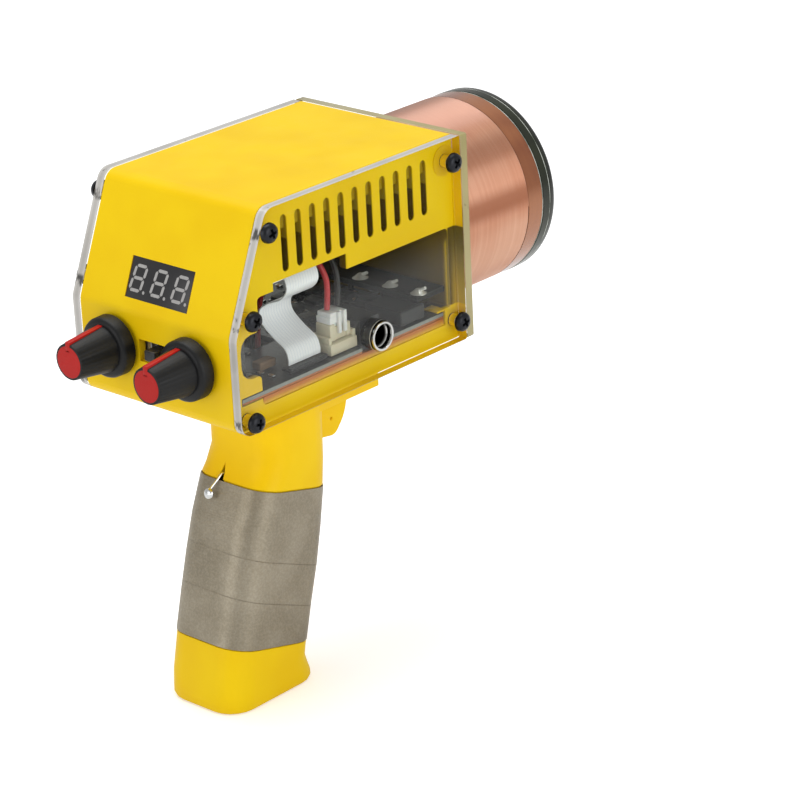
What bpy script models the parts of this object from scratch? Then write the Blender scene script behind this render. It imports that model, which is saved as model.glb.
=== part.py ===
"""Handheld high-voltage coil, modelled piece by piece.

Frame: +Y is the way the coil points, +X is the right hand side seen from
behind, +Z is up. The origin is the middle of the grip's bottom face.
Lengths are metres. Places inside the housing are written from the foot of its
rear face, and at() turns them into world places.
"""
import math

import bmesh
import bpy
from mathutils import Matrix, Vector

# Fits shared by every piece
GAP = 0.0003
OVERRUN = 0.003
ARC_STEPS = 5
MERGE = 0.00001

# Where the housing stands on its grip
GRIP_HEIGHT = 0.0891
GRIP_BASE_Y = 0.0231

# Housing: a moulded frame with open sides
HOUSING_HALF = 0.0275
HOUSING_LENGTH = 0.0880
HOUSING_HEIGHT = 0.0584
BEND_HEIGHT = 0.02665
SLANT_RUN = 0.0132
WALL = 0.0025
SOLE_RADIUS = 0.0035
BEND_RADIUS = 0.0060
CROWN_RADIUS = 0.0040
NOSE_RADIUS = 0.0006
INNER_RADIUS = 0.0008

# Side windows of the housing
SILL = 0.0050
WINDOW_REAR = 0.0112
WINDOW_SETBACK = 0.0030
WINDOW_FRONT = HOUSING_LENGTH - WINDOW_SETBACK
BAND_REAR_Z = 0.0346
BAND_NOTCH_Z = 0.0368
BAND_FRONT_Z = 0.0325
NOTCH_REAR = 0.0173
NOTCH_FRONT = 0.0449
LOBE_REAR = 0.0042
LOBE_TOP = 0.0255
LOBE_BOTTOM = 0.0135
LOBE_RADIUS = 0.0038
WINDOW_RADIUS = 0.0012

# Vent slots in the band over each window
SLOT_COUNT = 11
SLOT_WIDTH = 0.0024
SLOT_FIRST_Y = 0.0224
SLOT_SETBACK = 0.0118
SLOT_PITCH = (HOUSING_LENGTH - SLOT_SETBACK - SLOT_FIRST_Y) / (SLOT_COUNT - 1)
SLOT_BOTTOM = 0.0385
SLOT_DROP = 0.0044
SLOT_TOP = HOUSING_HEIGHT - SLOT_DROP
SLOT_ARC_STEPS = 2

# Rails under the roof, behind the tops of the slots
RAIL_WIDTH = 0.0027
RAIL_DEPTH = 0.0085

# Clear panels
PANEL_THICK = 0.0027
PANEL_EDGE = 0.0006

# Panel screws and their bosses, set from the nearest edges of the housing
SCREW_REAR_TOP_Y = 0.0134
SCREW_REAR_TOP_DROP = 0.0062
SCREW_REAR_MIDDLE_Y = 0.0058
SCREW_REAR_MIDDLE_Z = 0.0306
SCREW_REAR_BOTTOM_Y = 0.0046
SCREW_REAR_BOTTOM_Z = 0.0032
SCREW_FRONT_BOTTOM_SETBACK = 0.0025
SCREW_FRONT_BOTTOM_Z = 0.0059
SCREW_FRONT_TOP_SETBACK = 0.0035
SCREW_FRONT_TOP_DROP = 0.0067
SCREW_PLACES = (
    ("rear_top", SCREW_REAR_TOP_Y, HOUSING_HEIGHT - SCREW_REAR_TOP_DROP),
    ("rear_middle", SCREW_REAR_MIDDLE_Y, SCREW_REAR_MIDDLE_Z),
    ("rear_bottom", SCREW_REAR_BOTTOM_Y, SCREW_REAR_BOTTOM_Z),
    ("front_bottom", HOUSING_LENGTH - SCREW_FRONT_BOTTOM_SETBACK, SCREW_FRONT_BOTTOM_Z),
    ("front_top", HOUSING_LENGTH - SCREW_FRONT_TOP_SETBACK, HOUSING_HEIGHT - SCREW_FRONT_TOP_DROP),
)
SCREW_RADIUS = 0.0015
SCREW_HEAD_RADIUS = 0.00275
SCREW_HEAD_HEIGHT = 0.0019
SCREW_EDGE = 0.0006
SCREW_LENGTH = 0.0090
BOSS_RADIUS = 0.0030
BOSS_DEPTH = 0.0078
CORNER_BLOCK_LENGTH = 0.0050
CORNER_BLOCK_HEIGHT = 0.0097
SCREW_STEPS = 10
BOSS_STEPS = 12

# Coil: tube, winding, tape, disc and discharge tip
COIL_DROP = 0.0005
COIL_Z = HOUSING_HEIGHT / 2 - COIL_DROP
TUBE_RADIUS = 0.0256
TUBE_WALL = 0.0030
TUBE_LENGTH = 0.0351
WIRE_RADIUS = 0.00042
WINDING_RADIUS = 0.0265
WINDING_TURNS = 18
WINDING_START = 0.0022
WINDING_LENGTH = 0.0262
TURN_POINTS = 24
TAPE_BAND_START = 0.0292
TAPE_BAND_WIDTH = 0.0057
TAPE_BAND_THICK = 0.0010
DISC_RADIUS = 0.0270
DISC_THICK = 0.0053
DISC_EDGE = 0.0010
SPIGOT_LENGTH = 0.0050
COIL_STEPS = 40
TIP_RADIUS = 0.0015
TIP_REACH = 0.0110
TIP_POINT = 0.0050
NUT_RADIUS = 0.0031
NUT_LENGTH = 0.0024
TIP_POINT_SHARE = 0.15

# Coil base: the plug that holds the tube, and the primary inside it
PLUG_LENGTH = 0.0080
FORMER_RADIUS = 0.0150
FORMER_LENGTH = 0.0150
WIRE_WAY_RADIUS = 0.0060
PRIMARY_TURNS = 4
PRIMARY_WIRE = 0.0020
PRIMARY_GROOVE = 0.0006
PRIMARY_WALL = 0.0012
BASE_SCREW_RADIUS = 0.00125
BASE_SCREW_HEAD = 0.0024
BASE_SCREW_CIRCLE = 0.0185
BASE_SCREW_BITE = 0.0055

# Main board and what stands on it
BOARD_THICK = 0.0016
BOARD_TOP = 0.0089
BOARD_REAR = 0.0038
BOARD_SETBACK = 0.0058
BOARD_FRONT = HOUSING_LENGTH - BOARD_SETBACK
BOARD_MARGIN = 0.0002
LEAD_SLOT_HALF = 0.0045
LEAD_SLOT_REAR = 0.0315
LEAD_SLOT_FRONT = 0.0405
STANDOFF_RADIUS = 0.0028
STANDOFF_X = 0.0190
STANDOFF_REAR_Y = 0.0140
STANDOFF_SETBACK = 0.0062
STANDOFF_FRONT_Y = BOARD_FRONT - STANDOFF_SETBACK
BOARD_SCREW_RADIUS = 0.0012
BOARD_SCREW_HEAD = 0.0022
BOARD_SCREW_HEAD_HEIGHT = 0.0014

# Second board over the front of the main board
DRIVER_LIFT = 0.0050
DRIVER_SETBACK = 0.0033
DRIVER_DEPTH = 0.0112
DRIVER_FRONT = HOUSING_LENGTH - DRIVER_SETBACK
DRIVER_REAR = DRIVER_FRONT - DRIVER_DEPTH
DRIVER_LEFT = -0.0220
DRIVER_RIGHT = 0.0258
PIN_RADIUS = 0.0008
PIN_X = (-0.0170, -0.0040, 0.0080)
JOINT_PLACES_X = (0.0024, 0.0135, 0.0238)
JOINT_INSET = 0.0028
JOINT_Y = DRIVER_REAR + JOINT_INSET
JOINT_RADIUS = 0.0017
JOINT_HEIGHT = 0.0013

# Parts soldered to the boards: size along X, Y, Z
INDUCTOR = (0.0135, 0.0097, 0.0042)
INDUCTOR_X = 0.0198
# How far the inductor lies from the charging socket, as a share of the free board there
INDUCTOR_PLACE_SHARE = 0.5633
TANTALUM = (0.0033, 0.0060, 0.0023)
TANTALUM_X = 0.0164
TANTALUM_Y = 0.0232
TRANSISTOR_WIDTH = 0.0100
TRANSISTOR_THICK = 0.0045
TRANSISTOR_HEIGHT = 0.0150
TRANSISTOR_TAB = 0.0013
TRANSISTOR_X = -0.0190
TRANSISTOR_Y = 0.0300
TRANSISTOR_BODY_SHARE = 0.6

# Battery connector and its leads
SOCKET_X = 0.0220
SOCKET_Y = 0.0442
SOCKET_WIDTH = 0.0102
SOCKET_DEPTH = 0.0074
SOCKET_HEIGHT = 0.0048
SOCKET_RECESS = 0.0018
PLUG_WIDTH = 0.0084
PLUG_DEPTH = 0.0056
PLUG_HEIGHT = 0.0080
PLUG_RIB = 0.0012
PIN_PITCH = 0.0040
LEAD_RADIUS = 0.0008

# Charging socket on the right, beside the battery connector
JACK_PLAY = 0.0004
JACK_Z = 0.0117
JACK_RING_RADIUS = 0.0041
JACK_BARREL_RADIUS = 0.0033
JACK_BORE_RADIUS = 0.0029
JACK_PROUD = 0.0009
JACK_SETBACK = 0.0012
JACK_BODY_WIDTH = 0.0078
JACK_Y = SOCKET_Y + SOCKET_WIDTH / 2 + JACK_PLAY + JACK_BODY_WIDTH / 2
JACK_BODY_HEIGHT = 0.0086
JACK_BODY_DEPTH = 0.0142
JACK_BORE_DEPTH = 0.0092
JACK_PIN_RADIUS = 0.0010
JACK_PIN_LENGTH = 0.0075
JACK_STEPS = 24

# Ribbon cable from the main board to the display
RIBBON_REAR = 0.0250
RIBBON_WIDTH = 0.0120
RIBBON_THICK = 0.0004
RIBBON_CONNECTOR_HEIGHT = 0.0012
RIBBON_CONNECTOR_DEPTH = 0.0036
RIBBON_CONNECTOR_MARGIN = 0.0010

# Display in the slanted face
DISPLAY_WIDTH = 0.0225
DISPLAY_HEIGHT = 0.0104
DISPLAY_DEPTH = 0.0060
DISPLAY_FOOT = 0.0038
DISPLAY_SINK = 0.0004

# Control board, potentiometers and mode switch behind the rear face
CONTROL_HALF = 0.0235
CONTROL_BOTTOM = 0.0094
CONTROL_TOP = 0.0245
CONTROL_Y = 0.0080
POT_X = 0.0145
POT_Z = 0.0165
POT_WIDTH = 0.0095
POT_HEIGHT = 0.0110
BUSHING_RADIUS = 0.0032
BUSHING_REACH = 0.0034
SHAFT_RADIUS = 0.0030
SHAFT_REACH = 0.0090
SWITCH_Z = 0.0165
SWITCH_WINDOW_HALF = 0.0060
SWITCH_WINDOW_HEIGHT = 0.0062
SWITCH_BODY_HALF = 0.0078
SWITCH_BODY_HEIGHT = 0.0076
SWITCH_TRAVEL = 0.0020
SLIDER_HALF = 0.0020
SLIDER_HEIGHT = 0.0030
SLIDER_PROUD = 0.0022
SLIDER_ROOT = 0.0014

# Knobs
KNOB_GAP = 0.0010
KNOB_SKIRT_RADIUS = 0.0084
KNOB_SKIRT_LENGTH = 0.0042
# The skirt's outer side, as shares of its radius and its length
KNOB_SKIRT_SHARES = ((0, 1), (0.82, 1), (0.92, 0.93), (0.98, 0.75), (1, 0.52), (1, 0.08), (0.98, 0), (0, 0))
KNOB_BODY_RADIUS = 0.0066
KNOB_TIP_RADIUS = 0.0054
KNOB_LENGTH = 0.0162
KNOB_FLUTES = 16
KNOB_FLUTE_DEPTH = 0.0005
KNOB_HOLLOW_RADIUS = 0.0058
KNOB_HOLLOW_DEPTH = 0.0040
KNOB_CAP_THICK = 0.0012
KNOB_CAP_RADIUS = 0.0043
KNOB_STRIPE_WIDTH = 0.0016
KNOB_STRIPE_PROUD = 0.0004
KNOB_STRIPE_SINK = 0.0012

# Grip: a raked tube of rounded rectangles
GRIP_HALF = 0.0140
GRIP_DEPTH = 0.0330
GRIP_SWEEP = 0.0230
GRIP_HEEL = 0.0036
GRIP_CORNER = 0.0080
GRIP_WALL = 0.0022
GRIP_FOOT_RADIUS = 0.0014
GRIP_CORNER_STEPS = 5
GRIP_FLOOR = 0.0030
GRIP_CAVITY_SHARE = 0.808
GRIP_CAVITY_TOP = GRIP_HEIGHT * GRIP_CAVITY_SHARE
# Height, rear edge and depth, as shares of the grip's height, sweep and depth
GRIP_SHARES = (
    (0.000, 0.078, 1.073),
    (0.024, 0.083, 1.058),
    (0.052, 0.089, 1.027),
    (0.084, 0.100, 0.994),
    (0.164, 0.165, 0.992),
    (0.250, 0.243, 1.000),
    (0.374, 0.374, 1.006),
    (0.502, 0.513, 0.985),
    (0.596, 0.639, 0.945),
    (0.669, 0.748, 0.894),
    (0.710, 0.878, 0.812),
    (0.765, 0.991, 0.739),
    (0.862, 1.000, 0.739),
    (1.000, 1.000, 0.739),
)
NECK_HALF = 0.0060
NECK_REAR = 0.0300
NECK_FRONT = 0.0415

# Conductive tape round the grip, square to its rake
TAPE_TOP_SHARE = 0.651
TAPE_TOP = GRIP_HEIGHT * TAPE_TOP_SHARE
TAPE_BOTTOM = 0.0155
TAPE_TILT = 0.24
TAPE_THICK = 0.0004
TAPE_PROUD = 0.0002
TAPE_RINGS = 5

# Slit, ground wire and solder bead at the top of the tape
SLIT_X = -0.0028
SLIT_RISE = 0.0075
SLIT_TOP = TAPE_TOP + SLIT_RISE
SLIT_WIDTH = 0.0044
GROUND_RADIUS = 0.0004
BEAD_RADIUS = 0.0016
BEAD_FLATNESS_SHARE = 0.5

# Trigger block under the housing
BLOCK_HALF = 0.0133
BLOCK_REAR = 0.0360
BLOCK_FRONT = 0.0707
BLOCK_DEPTH = 0.0120
BLOCK_EDGE = 0.0012
BLOCK_ROOF = 0.0018
TRIGGER_BAY_REAR = 0.0473
TRIGGER_BAY_FRONT = 0.0671
TRIGGER_BAY_DROP = 0.0275

# Trigger, its pin and the switch it presses
TRIGGER_HALF = 0.0050
TRIGGER_SIDE_PLAY = 0.0004
TRIGGER_PIN_Y = 0.0615
TRIGGER_PIN_DROP = 0.0060
TRIGGER_PIN_RADIUS = 0.00125
TRIGGER_PIN_HALF = 0.0090
TRIGGER_EYE_RADIUS = 0.0036
TRIGGER_BACK = 0.0505
TRIGGER_FRONT = 0.0664
TRIGGER_TOE_Y = 0.0618
TRIGGER_DROP = 0.0255
TRIGGER_TOE_RADIUS = 0.0030
TRIGGER_NOSE_DROP = 0.0157
TRIGGER_NOSE_HEIGHT = 0.0060
TRIGGER_DIMPLE_Y = 0.0590
TRIGGER_DIMPLE_DROP = 0.0202
TRIGGER_DIMPLE_RADIUS = 0.0005
SENSOR_HALF = 0.0029
SENSOR_DEPTH = 0.0065
SENSOR_HEIGHT = 0.0128
SENSOR_FRONT = 0.0470
PLUNGER_RADIUS = 0.0008
PLUNGER_REACH = 0.0010
PLUNGER_ROOT = 0.0022
PLUNGER_DROP = 0.0125

# Screws that hold the grip to the housing floor
GRIP_SCREW_X = 0.0098
GRIP_SCREW_YS = (0.0330, 0.0540)
GRIP_SCREW_BITE = 0.0075

# Battery pack inside the grip
BATTERY_PLAY = 0.0005
BATTERY_TOP_SHARE = 0.640
BATTERY_TOP = GRIP_HEIGHT * BATTERY_TOP_SHARE

# Cable routes, each point from the foot of the housing's rear face
RED_LEAD_ROUTE = (
    (0.0220, 0.0427, 0.0260), (0.0218, 0.0424, 0.0300), (0.0195, 0.0418, 0.0338),
    (0.0140, 0.0410, 0.0358), (0.0080, 0.0398, 0.0330), (0.0035, 0.0380, 0.0260),
    (0.0018, 0.0366, 0.0170), (0.0017, 0.0358, 0.0080), (0.0016, 0.0352, 0.0000),
    (0.0016, 0.0348, -0.0100), (0.0016, 0.0344, -0.0200),
)
BLACK_LEAD_ROUTE = (
    (0.0220, 0.0467, 0.0260), (0.0216, 0.0466, 0.0310), (0.0190, 0.0462, 0.0356),
    (0.0125, 0.0452, 0.0384), (0.0050, 0.0432, 0.0360), (0.0002, 0.0406, 0.0280),
    (-0.0016, 0.0380, 0.0180), (-0.0018, 0.0362, 0.0080), (-0.0017, 0.0354, 0.0000),
    (-0.0016, 0.0349, -0.0100), (-0.0016, 0.0345, -0.0200),
)
# Ribbon seen along +Y: X and Z from the board up to the fold
RIBBON_ROUTE = (
    (0.0238, 0.0125), (0.0226, 0.0152), (0.0184, 0.0177), (0.0146, 0.0208),
    (0.0142, 0.0240), (0.0172, 0.0265), (0.0222, 0.0287), (0.0246, 0.0318),
    (0.0238, 0.0352), (0.0210, 0.0376), (0.0175, 0.0385),
)
RIBBON_FOLD_X = 0.0140

# Colours: red, green, blue, then roughness and metallic
YELLOW = ((0.88, 0.58, 0.01), 0.45, 0.0)
CLEAR = ((0.86, 0.87, 0.84), 0.08, 0.0)
SMOKED = ((0.05, 0.06, 0.045), 0.12, 0.0)
BLACK = ((0.018, 0.018, 0.02), 0.45, 0.0)
RED = ((0.48, 0.02, 0.025), 0.5, 0.0)
COPPER = ((0.72, 0.36, 0.22), 0.3, 1.0)
AMBER = ((0.50, 0.19, 0.06), 0.3, 0.2)
STEEL = ((0.62, 0.62, 0.62), 0.3, 1.0)
BRASS = ((0.75, 0.58, 0.28), 0.3, 1.0)
BOARD = ((0.02, 0.025, 0.028), 0.4, 0.0)
CREAM = ((0.74, 0.70, 0.58), 0.5, 0.0)
WHITE = ((0.82, 0.83, 0.84), 0.4, 0.0)
CLOTH = ((0.30, 0.27, 0.21), 0.45, 0.6)
SOLDER = ((0.80, 0.80, 0.80), 0.2, 1.0)
TAN = ((0.35, 0.25, 0.15), 0.5, 0.0)
BLUE = ((0.04, 0.09, 0.30), 0.45, 0.0)

# Directions: where a turned or extruded piece's own Z axis points
TURN = {
    "+Z": (0, 0, 0),
    "-Z": (math.pi, 0, 0),
    "+Y": (-math.pi / 2, 0, 0),
    "-Y": (math.pi / 2, 0, 0),
    "+X": (0, math.pi / 2, 0),
    "-X": (0, -math.pi / 2, 0),
}
# Flat outlines drawn in these planes, extruded square to them
PLANES = {
    "XY": Matrix(((1, 0, 0), (0, 1, 0), (0, 0, 1))),
    "XZ": Matrix(((1, 0, 0), (0, 0, -1), (0, 1, 0))),
    "YZ": Matrix(((0, 0, 1), (1, 0, 0), (0, 1, 0))),
}

SLANT_ANGLE = math.atan2(SLANT_RUN, HOUSING_HEIGHT - BEND_HEIGHT)
PANEL_INNER = HOUSING_HALF + GAP
PANEL_OUTER = PANEL_INNER + PANEL_THICK
PLATE_REAR = HOUSING_LENGTH + GAP
PLATE_FRONT = PLATE_REAR + PANEL_THICK
TUBE_REAR = PLATE_FRONT + GAP
TUBE_FRONT = TUBE_REAR + TUBE_LENGTH
TUBE_BORE = TUBE_RADIUS - TUBE_WALL
SPIGOT_RADIUS = TUBE_BORE - GAP
DISC_REAR = TUBE_FRONT + GAP
BOARD_BOTTOM = BOARD_TOP - BOARD_THICK
ON_BOARD = BOARD_TOP + GAP
JACK_FACE = HOUSING_HALF - JACK_SETBACK
DRIVER_BOTTOM = BOARD_TOP + DRIVER_LIFT
DRIVER_TOP = DRIVER_BOTTOM + BOARD_THICK
SCREW_HOLE = SCREW_RADIUS + GAP
JACK_END = JACK_Y + JACK_BODY_WIDTH / 2
INDUCTOR_FREE = BOARD_FRONT - JACK_END - INDUCTOR[1]
INDUCTOR_Y = JACK_END + INDUCTOR_PLACE_SHARE * INDUCTOR_FREE + INDUCTOR[1] / 2


def at(x, y, z):
    """World place of a point given from the foot of the housing's rear face."""
    return Vector((x, y - GRIP_BASE_Y, z + GRIP_HEIGHT))


def clear_file():
    """Remove what the opening scene holds."""
    for thing in list(bpy.data.objects):
        bpy.data.objects.remove(thing, do_unlink=True)


def new_collection(name):
    """Make a collection under the scene."""
    made = bpy.data.collections.new(name)
    bpy.context.scene.collection.children.link(made)
    return made


clear_file()
PARTS = new_collection("handheld_coil")
CUTTERS = new_collection("cutters")


def principled(name, finish, alpha=1.0):
    """Make a Principled material from a colour, a roughness and a metallic value."""
    colour, roughness, metallic = finish
    made = bpy.data.materials.new(name)
    made.use_nodes = True
    shader = made.node_tree.nodes["Principled BSDF"]
    shader.inputs["Base Color"].default_value = (*colour, 1.0)
    shader.inputs["Roughness"].default_value = roughness
    shader.inputs["Metallic"].default_value = metallic
    shader.inputs["Alpha"].default_value = alpha
    made.diffuse_color = (*colour, alpha)
    return made


def add(name, data, finish=None, alpha=1.0, smooth=True):
    """Put mesh or curve data in the file as a part, or as a cutter when it has no finish."""
    thing = bpy.data.objects.new(name, data)
    if finish is None:
        CUTTERS.objects.link(thing)
        thing.display_type = "WIRE"
        thing.hide_render = True
        return thing
    PARTS.objects.link(thing)
    data.materials.append(principled(name + "_finish", finish, alpha))
    if smooth and thing.type == "MESH":
        data.shade_smooth()
        data.set_sharp_from_angle(angle=math.radians(35))
    return thing


def settle(thing, place, turn=(0, 0, 0)):
    """Set where an object is and how it is turned."""
    thing.location = place
    thing.rotation_euler = turn
    return thing


def bevel(thing, width, segments=1):
    """Round the sharp edges of a part."""
    edge = thing.modifiers.new("edges", "BEVEL")
    edge.width = width
    edge.segments = segments
    edge.limit_method = "ANGLE"
    edge.angle_limit = math.radians(40)
    return thing


def cube_mesh(name, size):
    """Mesh of a box about its own middle."""
    data = bpy.data.meshes.new(name)
    shape = bmesh.new()
    bmesh.ops.create_cube(shape, size=1.0)
    bmesh.ops.scale(shape, vec=size, verts=shape.verts)
    shape.to_mesh(data)
    shape.free()
    return data


def box(name, low, high, finish=None, edge=0):
    """A box between two corners given from the foot of the housing's rear face."""
    size = [high[i] - low[i] for i in range(3)]
    middle = [(high[i] + low[i]) / 2 for i in range(3)]
    thing = settle(add(name, cube_mesh(name, size), finish), at(*middle))
    return bevel(thing, edge) if edge else thing


def rod(name, radius, start, end, axis, finish=None, steps=BOSS_STEPS):
    """A round bar whose ends are two points on one axis."""
    data = bpy.data.meshes.new(name)
    shape = bmesh.new()
    length = (Vector(end) - Vector(start)).length
    bmesh.ops.create_cone(shape, cap_ends=True, segments=steps, radius1=radius,
                          radius2=radius, depth=length)
    shape.to_mesh(data)
    shape.free()
    middle = (Vector(start) + Vector(end)) / 2
    return settle(add(name, data, finish), at(*middle), TURN[axis])


def turned(name, profile, place, axis, finish=None, steps=COIL_STEPS, alpha=1.0):
    """A turned piece: radius and height points, running down its outer side."""
    data = bpy.data.meshes.new(name)
    points = [(radius, 0, height) for radius, height in profile]
    edges = [(i, i + 1) for i in range(len(points) - 1)]
    if profile[0][0] > 0:
        edges.append((len(points) - 1, 0))
    data.from_pydata(points, edges, [])
    thing = settle(add(name, data, finish, alpha), place, TURN[axis])
    spin = thing.modifiers.new("turn", "SCREW")
    spin.angle = math.tau
    spin.steps = steps
    spin.render_steps = steps
    spin.use_merge_vertices = True
    spin.merge_threshold = MERGE
    spin.use_smooth_shade = False
    return thing


def rounded(corners, steps=ARC_STEPS):
    """Outline points of a polygon whose corners are (x, y, radius)."""
    points = []
    for index, (x, y, radius) in enumerate(corners):
        here = Vector((x, y))
        if radius == 0:
            points.append(here)
            continue
        back = (Vector(corners[index - 1][:2]) - here).normalized()
        ahead = (Vector(corners[(index + 1) % len(corners)][:2]) - here).normalized()
        half = back.angle(ahead) / 2
        centre = here + (back + ahead).normalized() * radius / math.sin(half)
        first = here + back * radius / math.tan(half) - centre
        last = here + ahead * radius / math.tan(half) - centre
        sweep = math.atan2(first.x * last.y - first.y * last.x, first.dot(last))
        for step in range(steps + 1):
            arm = first.copy()
            arm.rotate(Matrix.Rotation(sweep * step / steps, 2))
            points.append(centre + arm)
    return points


def inset(corners, wall):
    """The same polygon moved in by a wall, with its corner radii to match."""
    moved = []
    for index, (x, y, radius) in enumerate(corners):
        here = Vector((x, y))
        into = (here - Vector(corners[index - 1][:2])).normalized()
        out = (Vector(corners[(index + 1) % len(corners)][:2]) - here).normalized()
        left_in = Vector((-into.y, into.x))
        left_out = Vector((-out.y, out.x))
        shift = (left_in + left_out) * wall / (1 + left_in.dot(left_out))
        moved.append((x + shift.x, y + shift.y, max(radius - wall, INNER_RADIUS)))
    return moved


def stadium(width, length, steps):
    """Outline of a slot with round ends, upright about its own middle."""
    half = width / 2
    reach = length / 2
    return rounded([(-half, -reach, half * (1 - MERGE)), (half, -reach, half * (1 - MERGE)),
                    (half, reach, half * (1 - MERGE)), (-half, reach, half * (1 - MERGE))], steps)


def slab(name, outline, plane, depth_middle, thick, finish=None, alpha=1.0):
    """A flat outline in one of the planes, extruded to a thickness and made a mesh."""
    curve = bpy.data.curves.new(name, "CURVE")
    curve.dimensions = "2D"
    curve.fill_mode = "BOTH"
    curve.extrude = thick / 2
    line = curve.splines.new("POLY")
    line.points.add(len(outline) - 1)
    for point, place in zip(line.points, outline):
        point.co = (place[0], place[1], 0, 1)
    line.use_cyclic_u = True
    drawn = bpy.data.objects.new(name + "_outline", curve)
    CUTTERS.objects.link(drawn)
    turn = PLANES[plane]
    place = at(0, 0, 0) + turn @ Vector((0, 0, depth_middle))
    drawn.matrix_world = Matrix.Translation(place) @ turn.to_4x4()
    return as_mesh(drawn, name, finish, alpha)


def as_mesh(drawn, name, finish=None, alpha=1.0):
    """Turn a curve object into a closed mesh object at the same place."""
    bpy.context.view_layer.update()
    settled = drawn.matrix_world.copy()
    ready = drawn.evaluated_get(bpy.context.evaluated_depsgraph_get())
    data = bpy.data.meshes.new_from_object(ready)
    data.name = name
    data.materials.clear()
    weld = bmesh.new()
    weld.from_mesh(data)
    bmesh.ops.remove_doubles(weld, verts=weld.verts, dist=MERGE)
    bmesh.ops.recalc_face_normals(weld, faces=weld.faces)
    weld.to_mesh(data)
    weld.free()
    bpy.data.objects.remove(drawn)
    thing = add(name, data, finish, alpha)
    thing.matrix_world = settled
    return thing


def boolean(thing, tool, operation):
    """Cut or join one object with another, which stays in the file as a guide."""
    step = thing.modifiers.new(operation.lower(), "BOOLEAN")
    step.operation = operation
    step.solver = "EXACT"
    step.object = tool
    return thing


def cut(thing, *tools):
    """Cut tools out of a part."""
    for tool in tools:
        boolean(thing, tool, "DIFFERENCE")
    return thing


def join(thing, *tools):
    """Join tools onto a part."""
    for tool in tools:
        boolean(thing, tool, "UNION")
    return thing


def smooth_route(points, spacing):
    """Even points along a smooth curve through a route's own points."""
    route = [Vector(point) for point in points]
    route = [2 * route[0] - route[1]] + route + [2 * route[-1] - route[-2]]
    dense = []
    for a, b, c, d in zip(route, route[1:], route[2:], route[3:]):
        for step in range(20):
            t = step / 20
            dense.append(0.5 * (2 * b + (c - a) * t + (2 * a - 5 * b + 4 * c - d) * t * t
                                + (3 * b - a - 3 * c + d) * t ** 3))
    dense.append(route[-2])
    total = sum((b - a).length for a, b in zip(dense, dense[1:]))
    count = max(2, round(total / spacing))
    even = [dense[0]]
    run = 0
    for a, b in zip(dense, dense[1:]):
        run += (b - a).length
        if run >= total / count * len(even) and len(even) < count:
            even.append(b)
    even.append(dense[-1])
    return even, total


def wire(name, points, radius, finish, resolution=2):
    """A round wire on a poly line, with closed ends."""
    curve = bpy.data.curves.new(name, "CURVE")
    curve.dimensions = "3D"
    curve.bevel_depth = radius
    curve.bevel_resolution = resolution
    curve.use_fill_caps = True
    line = curve.splines.new("POLY")
    line.points.add(len(points) - 1)
    for point, place in zip(line.points, points):
        point.co = (*place, 1)
    return settle(add(name, curve, finish), at(0, 0, 0))


def housing_corners(front):
    """Corners of the housing's side view, as (y, z, radius)."""
    return [
        (0, 0, SOLE_RADIUS),
        (front, 0, NOSE_RADIUS),
        (front, HOUSING_HEIGHT, NOSE_RADIUS),
        (SLANT_RUN, HOUSING_HEIGHT, CROWN_RADIUS),
        (0, BEND_HEIGHT, BEND_RADIUS),
    ]


def window_corners():
    """Corners of the opening in each side of the housing, as (y, z, radius)."""
    return [
        (WINDOW_REAR, SILL, WINDOW_RADIUS),
        (BOARD_FRONT + 2 * GAP, SILL, 0),
        (BOARD_FRONT + 2 * GAP, CORNER_BLOCK_HEIGHT, 0),
        (WINDOW_FRONT, CORNER_BLOCK_HEIGHT, 0),
        (WINDOW_FRONT, BAND_FRONT_Z, WINDOW_RADIUS),
        (NOTCH_FRONT, BAND_FRONT_Z, 0),
        (NOTCH_FRONT, BAND_NOTCH_Z, 0),
        (NOTCH_REAR, BAND_NOTCH_Z, 0),
        (NOTCH_REAR, BAND_REAR_Z, 0),
        (WINDOW_REAR, BAND_REAR_Z, WINDOW_RADIUS),
        (WINDOW_REAR, LOBE_TOP, WINDOW_RADIUS),
        (LOBE_REAR, LOBE_TOP, LOBE_RADIUS),
        (LOBE_REAR, LOBE_BOTTOM, LOBE_RADIUS),
        (WINDOW_REAR, LOBE_BOTTOM, WINDOW_RADIUS),
    ]


def on_slant(along, out):
    """Place in the housing's side view, from the bend: up the slanted face, and out of it."""
    up = Vector((math.sin(SLANT_ANGLE), math.cos(SLANT_ANGLE)))
    away = Vector((-math.cos(SLANT_ANGLE), math.sin(SLANT_ANGLE)))
    return Vector((0, BEND_HEIGHT)) + up * along + away * out


def slanted_box(name, width, height, depth, out, finish=None, edge=0):
    """A box square to the slanted face, centred on the display's place."""
    y, z = on_slant(DISPLAY_FOOT + DISPLAY_HEIGHT / 2, out - depth / 2)
    thing = add(name, cube_mesh(name, (width, depth, height)), finish)
    settle(thing, at(0, y, z), (-SLANT_ANGLE, 0, 0))
    return bevel(thing, edge) if edge else thing


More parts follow.
